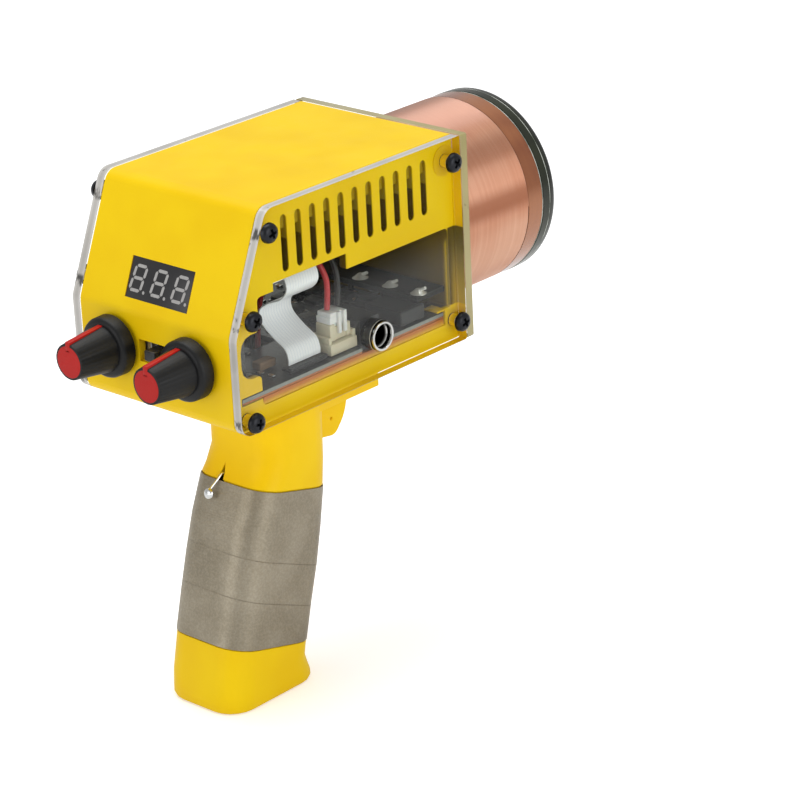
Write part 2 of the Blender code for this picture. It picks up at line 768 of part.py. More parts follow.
def make_housing():
    """The yellow moulded frame with its windows, vents, bosses and rails."""
    width = 2 * HOUSING_HALF
    through = width + 2 * OVERRUN
    outline = housing_corners(HOUSING_LENGTH)
    shell = slab("main_housing", rounded(outline), "YZ", 0, width, YELLOW)
    hollow = slab("housing_hollow", rounded(inset(outline, WALL)), "YZ", 0, width - 2 * WALL)
    window = slab("housing_windows", rounded(window_corners(), 3), "YZ", 0, through)
    slot_middle = (SLOT_BOTTOM + SLOT_TOP) / 2
    slot = [(SLOT_FIRST_Y + p.x, slot_middle + p.y)
            for p in stadium(SLOT_WIDTH, SLOT_TOP - SLOT_BOTTOM, SLOT_ARC_STEPS)]
    slots = slab("vent_slots", slot, "YZ", 0, through)
    row = slots.modifiers.new("row", "ARRAY")
    row.count = SLOT_COUNT
    row.use_relative_offset = False
    row.use_constant_offset = True
    row.constant_offset_displace = (SLOT_PITCH, 0, 0)
    cut(hollow, *boss_rods())
    cut(shell, hollow, window, slots)
    join(shell, *housing_inside())
    cut(shell, *housing_holes())
    return shell


def boss_rods():
    """Rods left standing in the hollow, which carry the panel screws inside the outline."""
    root = HOUSING_HALF - WALL / 2
    tip = HOUSING_HALF - BOSS_DEPTH
    made = []
    for side, label in ((1, "right"), (-1, "left")):
        ends = sorted((side * tip, side * root))
        for name, y, z in SCREW_PLACES:
            if name != "front_bottom":
                made.append(rod(f"boss_{name}_{label}", BOSS_RADIUS, (ends[0], y, z), (ends[1], y, z), "+X"))
    return made


def housing_inside():
    """Corner blocks, roof rails and board standoffs."""
    tip = HOUSING_HALF - BOSS_DEPTH
    made = []
    for side, label in ((1, "right"), (-1, "left")):
        ends = sorted((side * tip, side * HOUSING_HALF))
        made.append(box(f"corner_block_{label}",
                        (ends[0], HOUSING_LENGTH - CORNER_BLOCK_LENGTH, WALL / 2),
                        (ends[1], HOUSING_LENGTH - WALL / 2, CORNER_BLOCK_HEIGHT)))
        inner = HOUSING_HALF - WALL
        ends = sorted((side * (inner - RAIL_WIDTH), side * (inner + WALL / 2)))
        last = SLOT_FIRST_Y + SLOT_PITCH * (SLOT_COUNT - 1)
        made.append(box(f"roof_rail_{label}",
                        (ends[0], SLOT_FIRST_Y - SLOT_WIDTH, HOUSING_HEIGHT - RAIL_DEPTH),
                        (ends[1], last + SLOT_WIDTH, HOUSING_HEIGHT - WALL / 2)))
    for x, y in standoff_places():
        made.append(rod("standoff_post", STANDOFF_RADIUS, (x, y, WALL / 2),
                        (x, y, BOARD_BOTTOM - GAP), "+Z"))
    return made


def standoff_places():
    """Middles of the four posts under the main board."""
    return [(x, y) for x in (-STANDOFF_X, STANDOFF_X)
            for y in (STANDOFF_REAR_Y, STANDOFF_FRONT_Y)]


def board_screw_places():
    """Middles of the two screws through the main board, on opposite corners."""
    return [(-STANDOFF_X, STANDOFF_FRONT_Y), (STANDOFF_X, STANDOFF_REAR_Y)]


def base_screw_places():
    """Middles of the two screws that hold the coil base, as (x, z)."""
    return [(0, COIL_Z + BASE_SCREW_CIRCLE), (0, COIL_Z - BASE_SCREW_CIRCLE)]


def housing_holes():
    """Cutters for every hole, slot and window that the housing takes."""
    reach = HOUSING_HALF + OVERRUN
    front = HOUSING_LENGTH + OVERRUN
    made = []
    for side in (-1, 1):
        ends = sorted((side * (PANEL_OUTER - SCREW_LENGTH), side * reach))
        for name, y, z in SCREW_PLACES:
            made.append(rod(f"hole_{name}", SCREW_HOLE, (ends[0], y, z), (ends[1], y, z), "+X"))
    made.append(box("board_slot", (-reach, BOARD_REAR - GAP, BOARD_BOTTOM - GAP),
                    (reach, BOARD_FRONT + GAP, BOARD_TOP + GAP)))
    made.append(rod("wire_way", WIRE_WAY_RADIUS, (0, HOUSING_LENGTH - 2 * WALL, COIL_Z),
                    (0, front, COIL_Z), "+Y"))
    for x, z in base_screw_places():
        made.append(rod("base_screw_hole", BASE_SCREW_RADIUS + GAP,
                        (x, HOUSING_LENGTH - 2 * WALL, z), (x, front, z), "+Y"))
    made.append(slanted_box("display_window", DISPLAY_WIDTH + 2 * GAP, DISPLAY_HEIGHT + 2 * GAP,
                            WALL + 2 * OVERRUN, OVERRUN))
    for x in (-POT_X, POT_X):
        made.append(rod("bushing_hole", BUSHING_RADIUS + GAP, (x, -OVERRUN, POT_Z),
                        (x, WALL + OVERRUN / 2, POT_Z), "+Y"))
    half = SWITCH_WINDOW_HEIGHT / 2
    made.append(box("switch_window", (-SWITCH_WINDOW_HALF, -OVERRUN, SWITCH_Z - half),
                    (SWITCH_WINDOW_HALF, WALL + OVERRUN / 2, SWITCH_Z + half)))
    for x, y in board_screw_places():
        made.append(rod("standoff_hole", BOARD_SCREW_RADIUS + GAP, (x, y, WALL),
                        (x, y, BOARD_TOP), "+Z"))
    made.append(box("floor_opening", (-NECK_HALF, NECK_REAR, -OVERRUN),
                    (NECK_HALF, NECK_FRONT, WALL + OVERRUN / 2)))
    for x, y in grip_screw_places():
        made.append(rod("grip_screw_hole", SCREW_HOLE, (x, y, -OVERRUN),
                        (x, y, WALL + OVERRUN / 2), "+Z"))
    return made


def grip_screw_places():
    """Middles of the two screws through the housing floor."""
    return [(-GRIP_SCREW_X, GRIP_SCREW_YS[0]), (GRIP_SCREW_X, GRIP_SCREW_YS[1])]


def make_side_panel(name, side):
    """A clear side panel with its five screw holes."""
    middle = side * (PANEL_INNER + PANEL_THICK / 2)
    panel = slab(name, rounded(housing_corners(HOUSING_LENGTH)), "YZ", middle, PANEL_THICK, CLEAR, 0.35)
    reach = PANEL_OUTER + OVERRUN
    for place, y, z in SCREW_PLACES:
        ends = sorted((side * HOUSING_HALF, side * reach))
        cut(panel, rod(f"{name}_{place}", SCREW_HOLE, (ends[0], y, z), (ends[1], y, z), "+X"))
    if side > 0:
        cut(panel, rod("jack_hole", JACK_RING_RADIUS + GAP, (HOUSING_HALF, JACK_Y, JACK_Z),
                       (reach, JACK_Y, JACK_Z), "+X", steps=JACK_STEPS))
    return panel


def make_front_plate():
    """The clear plate that closes the front, with the coil's wire way and screw holes."""
    corners = [(-PANEL_OUTER, 0, PANEL_EDGE), (PANEL_OUTER, 0, PANEL_EDGE),
               (PANEL_OUTER, HOUSING_HEIGHT, PANEL_EDGE), (-PANEL_OUTER, HOUSING_HEIGHT, PANEL_EDGE)]
    middle = (PLATE_REAR + PLATE_FRONT) / 2
    plate = slab("front_plate", rounded(corners, 2), "XZ", -middle, PANEL_THICK, CLEAR, 0.35)
    rear = PLATE_REAR - OVERRUN
    front = PLATE_FRONT + OVERRUN
    cut(plate, rod("plate_wire_way", WIRE_WAY_RADIUS, (0, rear, COIL_Z), (0, front, COIL_Z), "+Y"))
    for x, z in base_screw_places():
        cut(plate, rod("plate_screw_hole", BASE_SCREW_RADIUS + GAP, (x, rear, z), (x, front, z), "+Y"))
    return plate


def screw_profile(radius, head, height, length, edge):
    """Outer side of a pan head screw, from the top of its head to its end."""
    return [(0, height), (head - edge, height), (head, height - edge), (head, 0),
            (radius, 0), (radius, -length), (0, -length)]


def screw(name, place, axis, sizes, finish):
    """One turned screw, with its head's underside at a place."""
    return turned(name, screw_profile(*sizes), at(*place), axis, finish, SCREW_STEPS)


def make_screws():
    """Panel screws, coil base screws, board screws and grip screws."""
    sizes = (SCREW_RADIUS, SCREW_HEAD_RADIUS, SCREW_HEAD_HEIGHT, SCREW_LENGTH, SCREW_EDGE)
    seat = PANEL_OUTER + GAP
    for side, label, axis in ((1, "right", "+X"), (-1, "left", "-X")):
        for name, y, z in SCREW_PLACES:
            screw(f"panel_screw_{label}_{name}", (side * seat, y, z), axis, sizes, BLACK)
    inner = HOUSING_LENGTH - WALL - GAP
    length = TUBE_REAR - inner + BASE_SCREW_BITE
    sizes = (BASE_SCREW_RADIUS, BASE_SCREW_HEAD, SCREW_HEAD_HEIGHT, length, SCREW_EDGE)
    for label, (x, z) in zip(("upper", "lower"), base_screw_places()):
        screw(f"coil_screw_{label}", (x, inner, z), "-Y", sizes, STEEL)
    length = BOARD_TOP - WALL
    sizes = (BOARD_SCREW_RADIUS, BOARD_SCREW_HEAD, BOARD_SCREW_HEAD_HEIGHT, length, SCREW_EDGE)
    for label, (x, y) in zip(("left", "right"), board_screw_places()):
        screw(f"board_screw_{label}", (x, y, ON_BOARD), "+Z", sizes, STEEL)
    floor = WALL + GAP
    sizes = (SCREW_RADIUS, SCREW_HEAD_RADIUS, SCREW_HEAD_HEIGHT, floor + GRIP_SCREW_BITE, SCREW_EDGE)
    for label, (x, y) in zip(("left", "right"), grip_screw_places()):
        screw(f"grip_screw_{label}", (x, y, floor), "+Z", sizes, STEEL)


def make_coil():
    """Tube, winding, tape band and front disc, all on the coil's axis."""
    rear = at(0, TUBE_REAR, COIL_Z)
    turned("coil_tube", [(TUBE_RADIUS, TUBE_LENGTH), (TUBE_RADIUS, 0), (TUBE_BORE, 0),
                         (TUBE_BORE, TUBE_LENGTH)], rear, "+Y", CLEAR, alpha=0.4)
    band_inner = TUBE_RADIUS + GAP
    band_outer = band_inner + TAPE_BAND_THICK
    turned("end_tape", [(band_outer, TAPE_BAND_WIDTH), (band_outer, 0), (band_inner, 0),
                        (band_inner, TAPE_BAND_WIDTH)], at(0, TUBE_REAR + TAPE_BAND_START, COIL_Z), "+Y", AMBER)
    disc = turned("end_disc", [(0, DISC_THICK), (DISC_RADIUS - DISC_EDGE, DISC_THICK),
                               (DISC_RADIUS, DISC_THICK - DISC_EDGE), (DISC_RADIUS, 0),
                               (SPIGOT_RADIUS, 0), (SPIGOT_RADIUS, -SPIGOT_LENGTH),
                               (0, -SPIGOT_LENGTH)], at(0, DISC_REAR, COIL_Z), "+Y", SMOKED)
    cut(disc, rod("tip_hole", TIP_RADIUS + GAP, (0, DISC_REAR - SPIGOT_LENGTH - OVERRUN, COIL_Z),
                  (0, DISC_REAR + DISC_THICK + OVERRUN, COIL_Z), "+Y"))
    make_winding()
    make_tip()


def make_winding():
    """The secondary winding: one unbroken helix, which stands for hundreds of fine turns."""
    pitch = WINDING_LENGTH / WINDING_TURNS
    points = []
    for step in range(WINDING_TURNS * TURN_POINTS + 1):
        angle = math.tau * step / TURN_POINTS
        points.append(Vector((WINDING_RADIUS * math.cos(angle),
                              TUBE_REAR + WINDING_START + pitch * step / TURN_POINTS,
                              COIL_Z + WINDING_RADIUS * math.sin(angle))))
    lead_in = (points[0] - points[1]).normalized() * 2 * WIRE_RADIUS
    lead_out = (points[-1] - points[-2]).normalized() * 2 * WIRE_RADIUS
    route = [points[0] + lead_in] + points + [points[-1] + lead_out]
    nearest = min((points[i] - points[i + TURN_POINTS + shift]).length
                  for i in range(TURN_POINTS) for shift in (-1, 0, 1) if i + shift >= 0)
    print(f"secondary winding: least gap to itself {(nearest - 2 * WIRE_RADIUS) * 1000:.2f} mm")
    wire("secondary_winding", route, WIRE_RADIUS, COPPER, 1)


def make_tip():
    """The pointed discharge tip, screwed into the disc, with its hexagon collar."""
    face = DISC_REAR + DISC_THICK
    back = DISC_REAR - SPIGOT_LENGTH
    end = face + TIP_REACH
    start = end - TIP_POINT
    profile = [(0, end - back), (TIP_RADIUS * TIP_POINT_SHARE, end - back), (TIP_RADIUS, start - back),
               (TIP_RADIUS, 0), (0, 0)]
    tip = turned("discharge_tip", profile, at(0, back, COIL_Z), "+Y", BRASS, 16)
    join(tip, rod("tip_collar", NUT_RADIUS, (0, face + GAP, COIL_Z), (0, face + GAP + NUT_LENGTH, COIL_Z),
                  "+Y", steps=6))


def make_coil_base():
    """The plug in the rear of the tube, with the primary on its former."""
    profile = [(FORMER_RADIUS, PLUG_LENGTH + FORMER_LENGTH), (FORMER_RADIUS, PLUG_LENGTH),
               (SPIGOT_RADIUS, PLUG_LENGTH), (SPIGOT_RADIUS, 0), (WIRE_WAY_RADIUS, 0),
               (WIRE_WAY_RADIUS, PLUG_LENGTH + FORMER_LENGTH)]
    plug = turned("coil_base_plug", profile, at(0, TUBE_REAR, COIL_Z), "+Y", BLACK, 32)
    for x, z in base_screw_places():
        cut(plug, rod("plug_screw_hole", BASE_SCREW_RADIUS + GAP, (x, TUBE_REAR - OVERRUN, z),
                      (x, TUBE_REAR + BASE_SCREW_BITE + GAP, z), "+Y"))
    inner = FORMER_RADIUS + GAP
    outer = inner + PRIMARY_WALL
    side = [(outer, 0)]
    for turn in range(PRIMARY_TURNS):
        foot = turn * PRIMARY_WIRE
        side.append((outer, foot + PRIMARY_GROOVE / 2))
        side.append((outer + PRIMARY_WALL, foot + PRIMARY_WIRE / 2))
        side.append((outer, foot + PRIMARY_WIRE - PRIMARY_GROOVE / 2))
    side.append((outer, PRIMARY_TURNS * PRIMARY_WIRE))
    profile = list(reversed(side)) + [(inner, 0), (inner, PRIMARY_TURNS * PRIMARY_WIRE)]
    turned("primary_coil", profile, at(0, TUBE_REAR + PLUG_LENGTH + GAP, COIL_Z), "+Y", COPPER, 24)


def make_boards():
    """Main board, driver board, spacers, solder joints and soldered parts."""
    half = HOUSING_HALF - BOARD_MARGIN
    board = box("main_board", (-half, BOARD_REAR, BOARD_BOTTOM), (half, BOARD_FRONT, BOARD_TOP), BOARD)
    cut(board, box("lead_slot", (-LEAD_SLOT_HALF, LEAD_SLOT_REAR, BOARD_BOTTOM - OVERRUN),
                   (LEAD_SLOT_HALF, LEAD_SLOT_FRONT, BOARD_TOP + OVERRUN)))
    cut(board, box("jack_notch", (JACK_FACE - JACK_BODY_DEPTH - GAP, JACK_Y - JACK_BODY_WIDTH / 2 - GAP,
                                  BOARD_BOTTOM - OVERRUN),
                   (half + OVERRUN, JACK_Y + JACK_BODY_WIDTH / 2 + GAP, BOARD_TOP + OVERRUN)))
    for x, y in board_screw_places():
        cut(board, rod("board_hole", BOARD_SCREW_RADIUS + GAP, (x, y, BOARD_BOTTOM - OVERRUN),
                       (x, y, BOARD_TOP + OVERRUN), "+Z"))
    make_driver_board()
    for name, sizes, x, y, finish in (("power_inductor", INDUCTOR, INDUCTOR_X, INDUCTOR_Y, BLACK),
                                      ("tantalum_capacitor", TANTALUM, TANTALUM_X, TANTALUM_Y, TAN)):
        across, along, tall = sizes
        box(name, (x - across / 2, y - along / 2, ON_BOARD), (x + across / 2, y + along / 2, ON_BOARD + tall),
            finish, GAP)
    make_transistor()


def make_driver_board():
    """The second board, with its solder joints on top and its pins down to the main board."""
    board = box("driver_board", (DRIVER_LEFT, DRIVER_REAR, DRIVER_BOTTOM),
                (DRIVER_RIGHT, DRIVER_FRONT, DRIVER_TOP), BOARD)
    sunk = BOARD_THICK / 2
    for x in JOINT_PLACES_X:
        join(board, turned("solder_joint", [(0, JOINT_HEIGHT + sunk), (JOINT_RADIUS / 2, JOINT_HEIGHT / 2 + sunk),
                                            (JOINT_RADIUS, sunk), (JOINT_RADIUS, 0), (0, 0)],
                           at(x, JOINT_Y, DRIVER_TOP - sunk), "+Z", steps=10))
    inner = HOUSING_LENGTH - WALL
    x, z = base_screw_places()[1]
    cut(board, rod("screw_clearance", BASE_SCREW_HEAD + GAP, (x, inner - SCREW_HEAD_HEIGHT - 2 * GAP, z),
                   (x, inner, z), "+Y"))
    middle = (DRIVER_REAR + DRIVER_FRONT) / 2
    for x in PIN_X:
        join(board, rod("board_pin", PIN_RADIUS, (x, middle, ON_BOARD), (x, middle, DRIVER_TOP - sunk),
                        "+Z", steps=6))


def make_transistor():
    """A power transistor that stands on the board, a block with a metal tab."""
    foot = ON_BOARD
    step = foot + TRANSISTOR_HEIGHT * TRANSISTOR_BODY_SHARE
    top = foot + TRANSISTOR_HEIGHT
    outline = [(TRANSISTOR_X, foot), (TRANSISTOR_X + TRANSISTOR_THICK, foot),
               (TRANSISTOR_X + TRANSISTOR_THICK, step), (TRANSISTOR_X + TRANSISTOR_TAB, step),
               (TRANSISTOR_X + TRANSISTOR_TAB, top), (TRANSISTOR_X, top)]
    slab("power_transistor", outline, "XZ", -TRANSISTOR_Y, TRANSISTOR_WIDTH, BLACK)


def make_battery_connector():
    """Socket, plug and the two leads down to the battery."""
    half = SOCKET_WIDTH / 2
    deep = SOCKET_DEPTH / 2
    top = ON_BOARD + SOCKET_HEIGHT
    socket = box("battery_socket", (SOCKET_X - deep, SOCKET_Y - half, ON_BOARD),
                 (SOCKET_X + deep, SOCKET_Y + half, top), CREAM, GAP)
    half = PLUG_WIDTH / 2
    deep = PLUG_DEPTH / 2
    foot = top - SOCKET_RECESS + GAP
    cut(socket, box("plug_recess", (SOCKET_X - deep - GAP, SOCKET_Y - half - GAP, top - SOCKET_RECESS),
                    (SOCKET_X + deep + GAP, SOCKET_Y + half + GAP, top + OVERRUN)))
    plug = box("battery_plug", (SOCKET_X - deep, SOCKET_Y - half, foot),
               (SOCKET_X + deep, SOCKET_Y + half, foot + PLUG_HEIGHT), WHITE)
    for side in (-1, 1):
        y = SOCKET_Y + side * (half - PLUG_RIB)
        join(plug, box("plug_rib", (SOCKET_X + deep - PLUG_RIB, y - PLUG_RIB / 2, top + GAP),
                       (SOCKET_X + deep + PLUG_RIB / 2, y + PLUG_RIB / 2, foot + PLUG_HEIGHT - PLUG_RIB)))
    leave = foot + PLUG_HEIGHT + GAP
    battery = BATTERY_TOP - GRIP_HEIGHT + GAP
    for name, route, side, finish in (("battery_lead_red", RED_LEAD_ROUTE, -1, RED),
                                      ("battery_lead_black", BLACK_LEAD_ROUTE, 1, BLACK)):
        first = (SOCKET_X, SOCKET_Y + side * PIN_PITCH / 2, leave)
        last = (route[-1][0], route[-1][1], battery)
        points, length = smooth_route([first, *route, last], 5 * LEAD_RADIUS)
        print(f"{name}: {length * 1000:.0f} mm long")
        wire(name, points, LEAD_RADIUS, finish)


def make_charge_socket():
    """The charging socket's body with its pin, and the metal sleeve through the panel."""
    face = JACK_FACE
    low = (face - JACK_BODY_DEPTH, JACK_Y - JACK_BODY_WIDTH / 2, JACK_Z - JACK_BODY_HEIGHT / 2)
    high = (face, JACK_Y + JACK_BODY_WIDTH / 2, JACK_Z + JACK_BODY_HEIGHT / 2)
    body = box("charge_socket", low, high, BLACK)
    bottom = face - JACK_BORE_DEPTH
    cut(body, rod("socket_bore", JACK_BARREL_RADIUS + GAP, (bottom, JACK_Y, JACK_Z),
                  (face + OVERRUN, JACK_Y, JACK_Z), "+X", steps=JACK_STEPS))
    join(body, rod("socket_pin", JACK_PIN_RADIUS, (bottom - GAP, JACK_Y, JACK_Z),
                   (bottom + JACK_PIN_LENGTH, JACK_Y, JACK_Z), "+X", steps=10))
    start = bottom + GAP
    end = PANEL_OUTER + JACK_PROUD
    collar = face + GAP
    profile = [(JACK_RING_RADIUS, end - start), (JACK_RING_RADIUS, collar - start),
               (JACK_BARREL_RADIUS, collar - start), (JACK_BARREL_RADIUS, 0),
               (JACK_BORE_RADIUS, 0), (JACK_BORE_RADIUS, end - start)]
    turned("charge_socket_sleeve", profile, at(start, JACK_Y, JACK_Z), "+X", STEEL, JACK_STEPS)


def make_ribbon():
    """The flat ribbon cable: an S up from the board, then a fold towards the display."""
    half = RIBBON_CONNECTOR_DEPTH / 2
    foot = (RIBBON_ROUTE[0][0], ON_BOARD + RIBBON_CONNECTOR_HEIGHT + GAP)
    box("ribbon_connector", (foot[0] - half, RIBBON_REAR - RIBBON_CONNECTOR_MARGIN, ON_BOARD),
        (foot[0] + half, RIBBON_REAR + RIBBON_WIDTH + RIBBON_CONNECTOR_MARGIN,
         ON_BOARD + RIBBON_CONNECTOR_HEIGHT), BLACK)
    level = RIBBON_ROUTE[-1][1]
    flat = [(x, 0, z) for x, z in (foot, *RIBBON_ROUTE, (RIBBON_FOLD_X, level))]
    path, length = smooth_route(flat, 6 * RIBBON_THICK)
    print(f"ribbon cable: {(length + RIBBON_REAR + RIBBON_WIDTH) * 1000:.0f} mm along its middle")
    shape = bmesh.new()
    near = [shape.verts.new((point.x, RIBBON_REAR, point.z)) for point in path]
    far = [shape.verts.new((point.x, RIBBON_REAR + RIBBON_WIDTH, point.z)) for point in path]
    for index in range(len(path) - 1):
        shape.faces.new((near[index], near[index + 1], far[index + 1], far[index]))
    inner = RIBBON_FOLD_X - RIBBON_WIDTH
    back = on_slant((level - BEND_HEIGHT) / math.cos(SLANT_ANGLE), -DISPLAY_DEPTH).x + WALL
    turn = shape.verts.new((inner, RIBBON_REAR, level))
    shape.faces.new((near[-1], turn, far[-1]))
    ends = [shape.verts.new((x, back, level)) for x in (inner, RIBBON_FOLD_X)]
    shape.faces.new((near[-1], ends[1], ends[0], turn))
    bmesh.ops.recalc_face_normals(shape, faces=shape.faces)
    data = bpy.data.meshes.new("ribbon_cable")
    shape.to_mesh(data)
    shape.free()
    ribbon = settle(add("ribbon_cable", data, WHITE), at(0, 0, 0))
    thick = ribbon.modifiers.new("thickness", "SOLIDIFY")
    thick.thickness = RIBBON_THICK
    thick.offset = 0
    return ribbon


def make_display():
    """The three digit voltage display in its window."""
    slanted_box("voltage_display", DISPLAY_WIDTH, DISPLAY_HEIGHT, DISPLAY_DEPTH, -DISPLAY_SINK, BLACK, GAP)


def make_controls():
    """Control board, potentiometers, mode switch and knobs."""
    box("control_board", (-CONTROL_HALF, CONTROL_Y, CONTROL_BOTTOM),
        (CONTROL_HALF, CONTROL_Y + BOARD_THICK, CONTROL_TOP), BOARD)
    for x, label in ((-POT_X, "power"), (POT_X, "frequency")):
        make_potentiometer(x, label)
        make_knob(x, label)
    make_mode_switch()


def make_potentiometer(x, label):
    """One potentiometer: the body with its bushing, and the turning shaft."""
    body = box(f"{label}_potentiometer", (x - POT_WIDTH / 2, WALL + GAP, POT_Z - POT_HEIGHT / 2),
               (x + POT_WIDTH / 2, CONTROL_Y - GAP, POT_Z + POT_HEIGHT / 2), STEEL)
    join(body, rod(f"{label}_bushing", BUSHING_RADIUS, (x, -BUSHING_REACH, POT_Z),
                   (x, WALL + 2 * GAP, POT_Z), "+Y"))
    start = -BUSHING_REACH - GAP
    rod(f"{label}_shaft", SHAFT_RADIUS, (x, start - SHAFT_REACH, POT_Z), (x, start, POT_Z), "+Y", STEEL)


def make_knob(x, label):
    """A fluted knob with a skirt, and the red cap and pointer set into it."""
    place = at(x, -KNOB_GAP, POT_Z)
    shape = bmesh.new()
    rings = []
    for height, radius, depth in ((KNOB_SKIRT_LENGTH / 2, KNOB_BODY_RADIUS, KNOB_FLUTE_DEPTH),
                                  (KNOB_LENGTH, KNOB_TIP_RADIUS, KNOB_FLUTE_DEPTH)):
        ring = []
        for step in range(2 * KNOB_FLUTES):
            angle = math.tau * step / (2 * KNOB_FLUTES)
            reach = radius - depth * (step % 2)
            ring.append(shape.verts.new((reach * math.cos(angle), reach * math.sin(angle), height)))
        rings.append([shape.edges.new((ring[i - 1], ring[i])) for i in range(len(ring))])
    bmesh.ops.bridge_loops(shape, edges=rings[0] + rings[1])
    for ring in rings:
        bmesh.ops.edgeloop_fill(shape, edges=ring)
    bmesh.ops.recalc_face_normals(shape, faces=shape.faces)
    data = bpy.data.meshes.new(f"{label}_knob")
    shape.to_mesh(data)
    shape.free()
    knob = settle(add(f"{label}_knob", data, BLACK), place, TURN["-Y"])
    profile = [(KNOB_SKIRT_RADIUS * out, KNOB_SKIRT_LENGTH * up) for out, up in KNOB_SKIRT_SHARES]
    skirt = turned(f"{label}_skirt", profile, place, "-Y", steps=32)
    join(knob, skirt)
    hollow = rod(f"{label}_hollow", KNOB_HOLLOW_RADIUS, (x, -KNOB_GAP - KNOB_HOLLOW_DEPTH, POT_Z),
                 (x, OVERRUN, POT_Z), "+Y", steps=24)
    bore_end = -BUSHING_REACH - 2 * GAP - SHAFT_REACH
    bore = rod(f"{label}_bore", SHAFT_RADIUS + GAP, (x, bore_end, POT_Z), (x, OVERRUN, POT_Z), "+Y")
    tip = -KNOB_GAP - KNOB_LENGTH
    recess = rod(f"{label}_cap_recess", KNOB_CAP_RADIUS + GAP, (x, tip - OVERRUN, POT_Z),
                 (x, tip + KNOB_CAP_THICK, POT_Z), "+Y", steps=24)
    groove = pointer_bar(f"{label}_groove", x, GAP, OVERRUN)
    cut(knob, hollow, bore, recess, groove)
    cap = rod(f"{label}_knob_cap", KNOB_CAP_RADIUS, (x, tip, POT_Z), (x, tip + KNOB_CAP_THICK - GAP, POT_Z),
              "+Y", RED, 24)
    join(cap, pointer_bar(f"{label}_pointer", x, 0, KNOB_STRIPE_PROUD))


def pointer_bar(name, x, play, proud):
    """The bar along the top of a knob: the pointer, or with play the groove for it."""
    half = KNOB_STRIPE_WIDTH / 2 + play
    tip = -KNOB_GAP - KNOB_LENGTH
    end = -KNOB_GAP - KNOB_SKIRT_LENGTH - 2 * GAP + play
    outline = [(tip - (OVERRUN if play else 0), POT_Z + KNOB_TIP_RADIUS - KNOB_STRIPE_SINK - play),
               (end, POT_Z + KNOB_BODY_RADIUS - KNOB_STRIPE_SINK - play),
               (end, POT_Z + KNOB_BODY_RADIUS + proud),
               (tip - (OVERRUN if play else 0), POT_Z + KNOB_TIP_RADIUS + proud)]
    return slab(name, outline, "YZ", x, 2 * half)


def make_mode_switch():
    """The three position slide switch behind its window in the rear face."""
    half = SWITCH_BODY_HEIGHT / 2
    face = WALL + GAP
    body = box("mode_switch_body", (-SWITCH_BODY_HALF, face, SWITCH_Z - half),
               (SWITCH_BODY_HALF, CONTROL_Y - GAP, SWITCH_Z + half), STEEL)
    reach = SLIDER_HALF + SWITCH_TRAVEL + GAP
    high = SLIDER_HEIGHT / 2 + GAP
    cut(body, box("slider_slot", (-reach, face - OVERRUN, SWITCH_Z - high),
                  (reach, face + SLIDER_ROOT + GAP, SWITCH_Z + high)))
    high = SLIDER_HEIGHT / 2
    box("mode_switch_slider", (-SLIDER_HALF, -SLIDER_PROUD, SWITCH_Z - high),
        (SLIDER_HALF, face + SLIDER_ROOT, SWITCH_Z + high), BLACK, GAP)


def grip_station(height):
    """Rear edge and depth of the grip at a height over its foot."""
    share = height / GRIP_HEIGHT
    for low, high in zip(GRIP_SHARES, GRIP_SHARES[1:]):
        if share <= high[0]:
            break
    mix = (share - low[0]) / (high[0] - low[0])
    rear = low[1] + (high[1] - low[1]) * mix
    depth = low[2] + (high[2] - low[2]) * mix
    return GRIP_HEEL + GRIP_SWEEP * rear - GRIP_BASE_Y, GRIP_DEPTH * depth


def grip_ring(height, tilt=0, grow=0):
    """Points round the grip at a height, tilted to its rake and grown or shrunk."""
    points = []
    radius = GRIP_CORNER + grow
    for corner in range(4):
        side_x = (1, -1, -1, 1)[corner]
        side_y = (1, 1, -1, -1)[corner]
        for step in range(GRIP_CORNER_STEPS + 1):
            angle = math.pi / 2 * (corner + step / GRIP_CORNER_STEPS)
            level = height
            for _ in range(4):
                rear, depth = grip_station(level)
                middle = rear + depth / 2
                y = middle + side_y * (depth / 2 - GRIP_CORNER) + radius * math.sin(angle)
                level = height - tilt * (y - middle)
            x = side_x * (GRIP_HALF - GRIP_CORNER) + radius * math.cos(angle)
            points.append(Vector((x, y, level)))
    return points


def loft(name, rings, closed, finish=None):
    """A skin through rings of points, capped at both ends or joined to itself."""
    shape = bmesh.new()
    loops = [[shape.verts.new(point) for point in ring] for ring in rings]
    pairs = list(zip(loops, loops[1:]))
    if closed:
        pairs.append((loops[-1], loops[0]))
    for a, b in pairs:
        for i in range(len(a)):
            shape.faces.new((a[i - 1], a[i], b[i], b[i - 1]))
    if not closed:
        shape.faces.new(loops[0])
        shape.faces.new(loops[-1])
    bmesh.ops.recalc_face_normals(shape, faces=shape.faces)
    data = bpy.data.meshes.new(name)
    shape.to_mesh(data)
    shape.free()
    return add(name, data, finish)


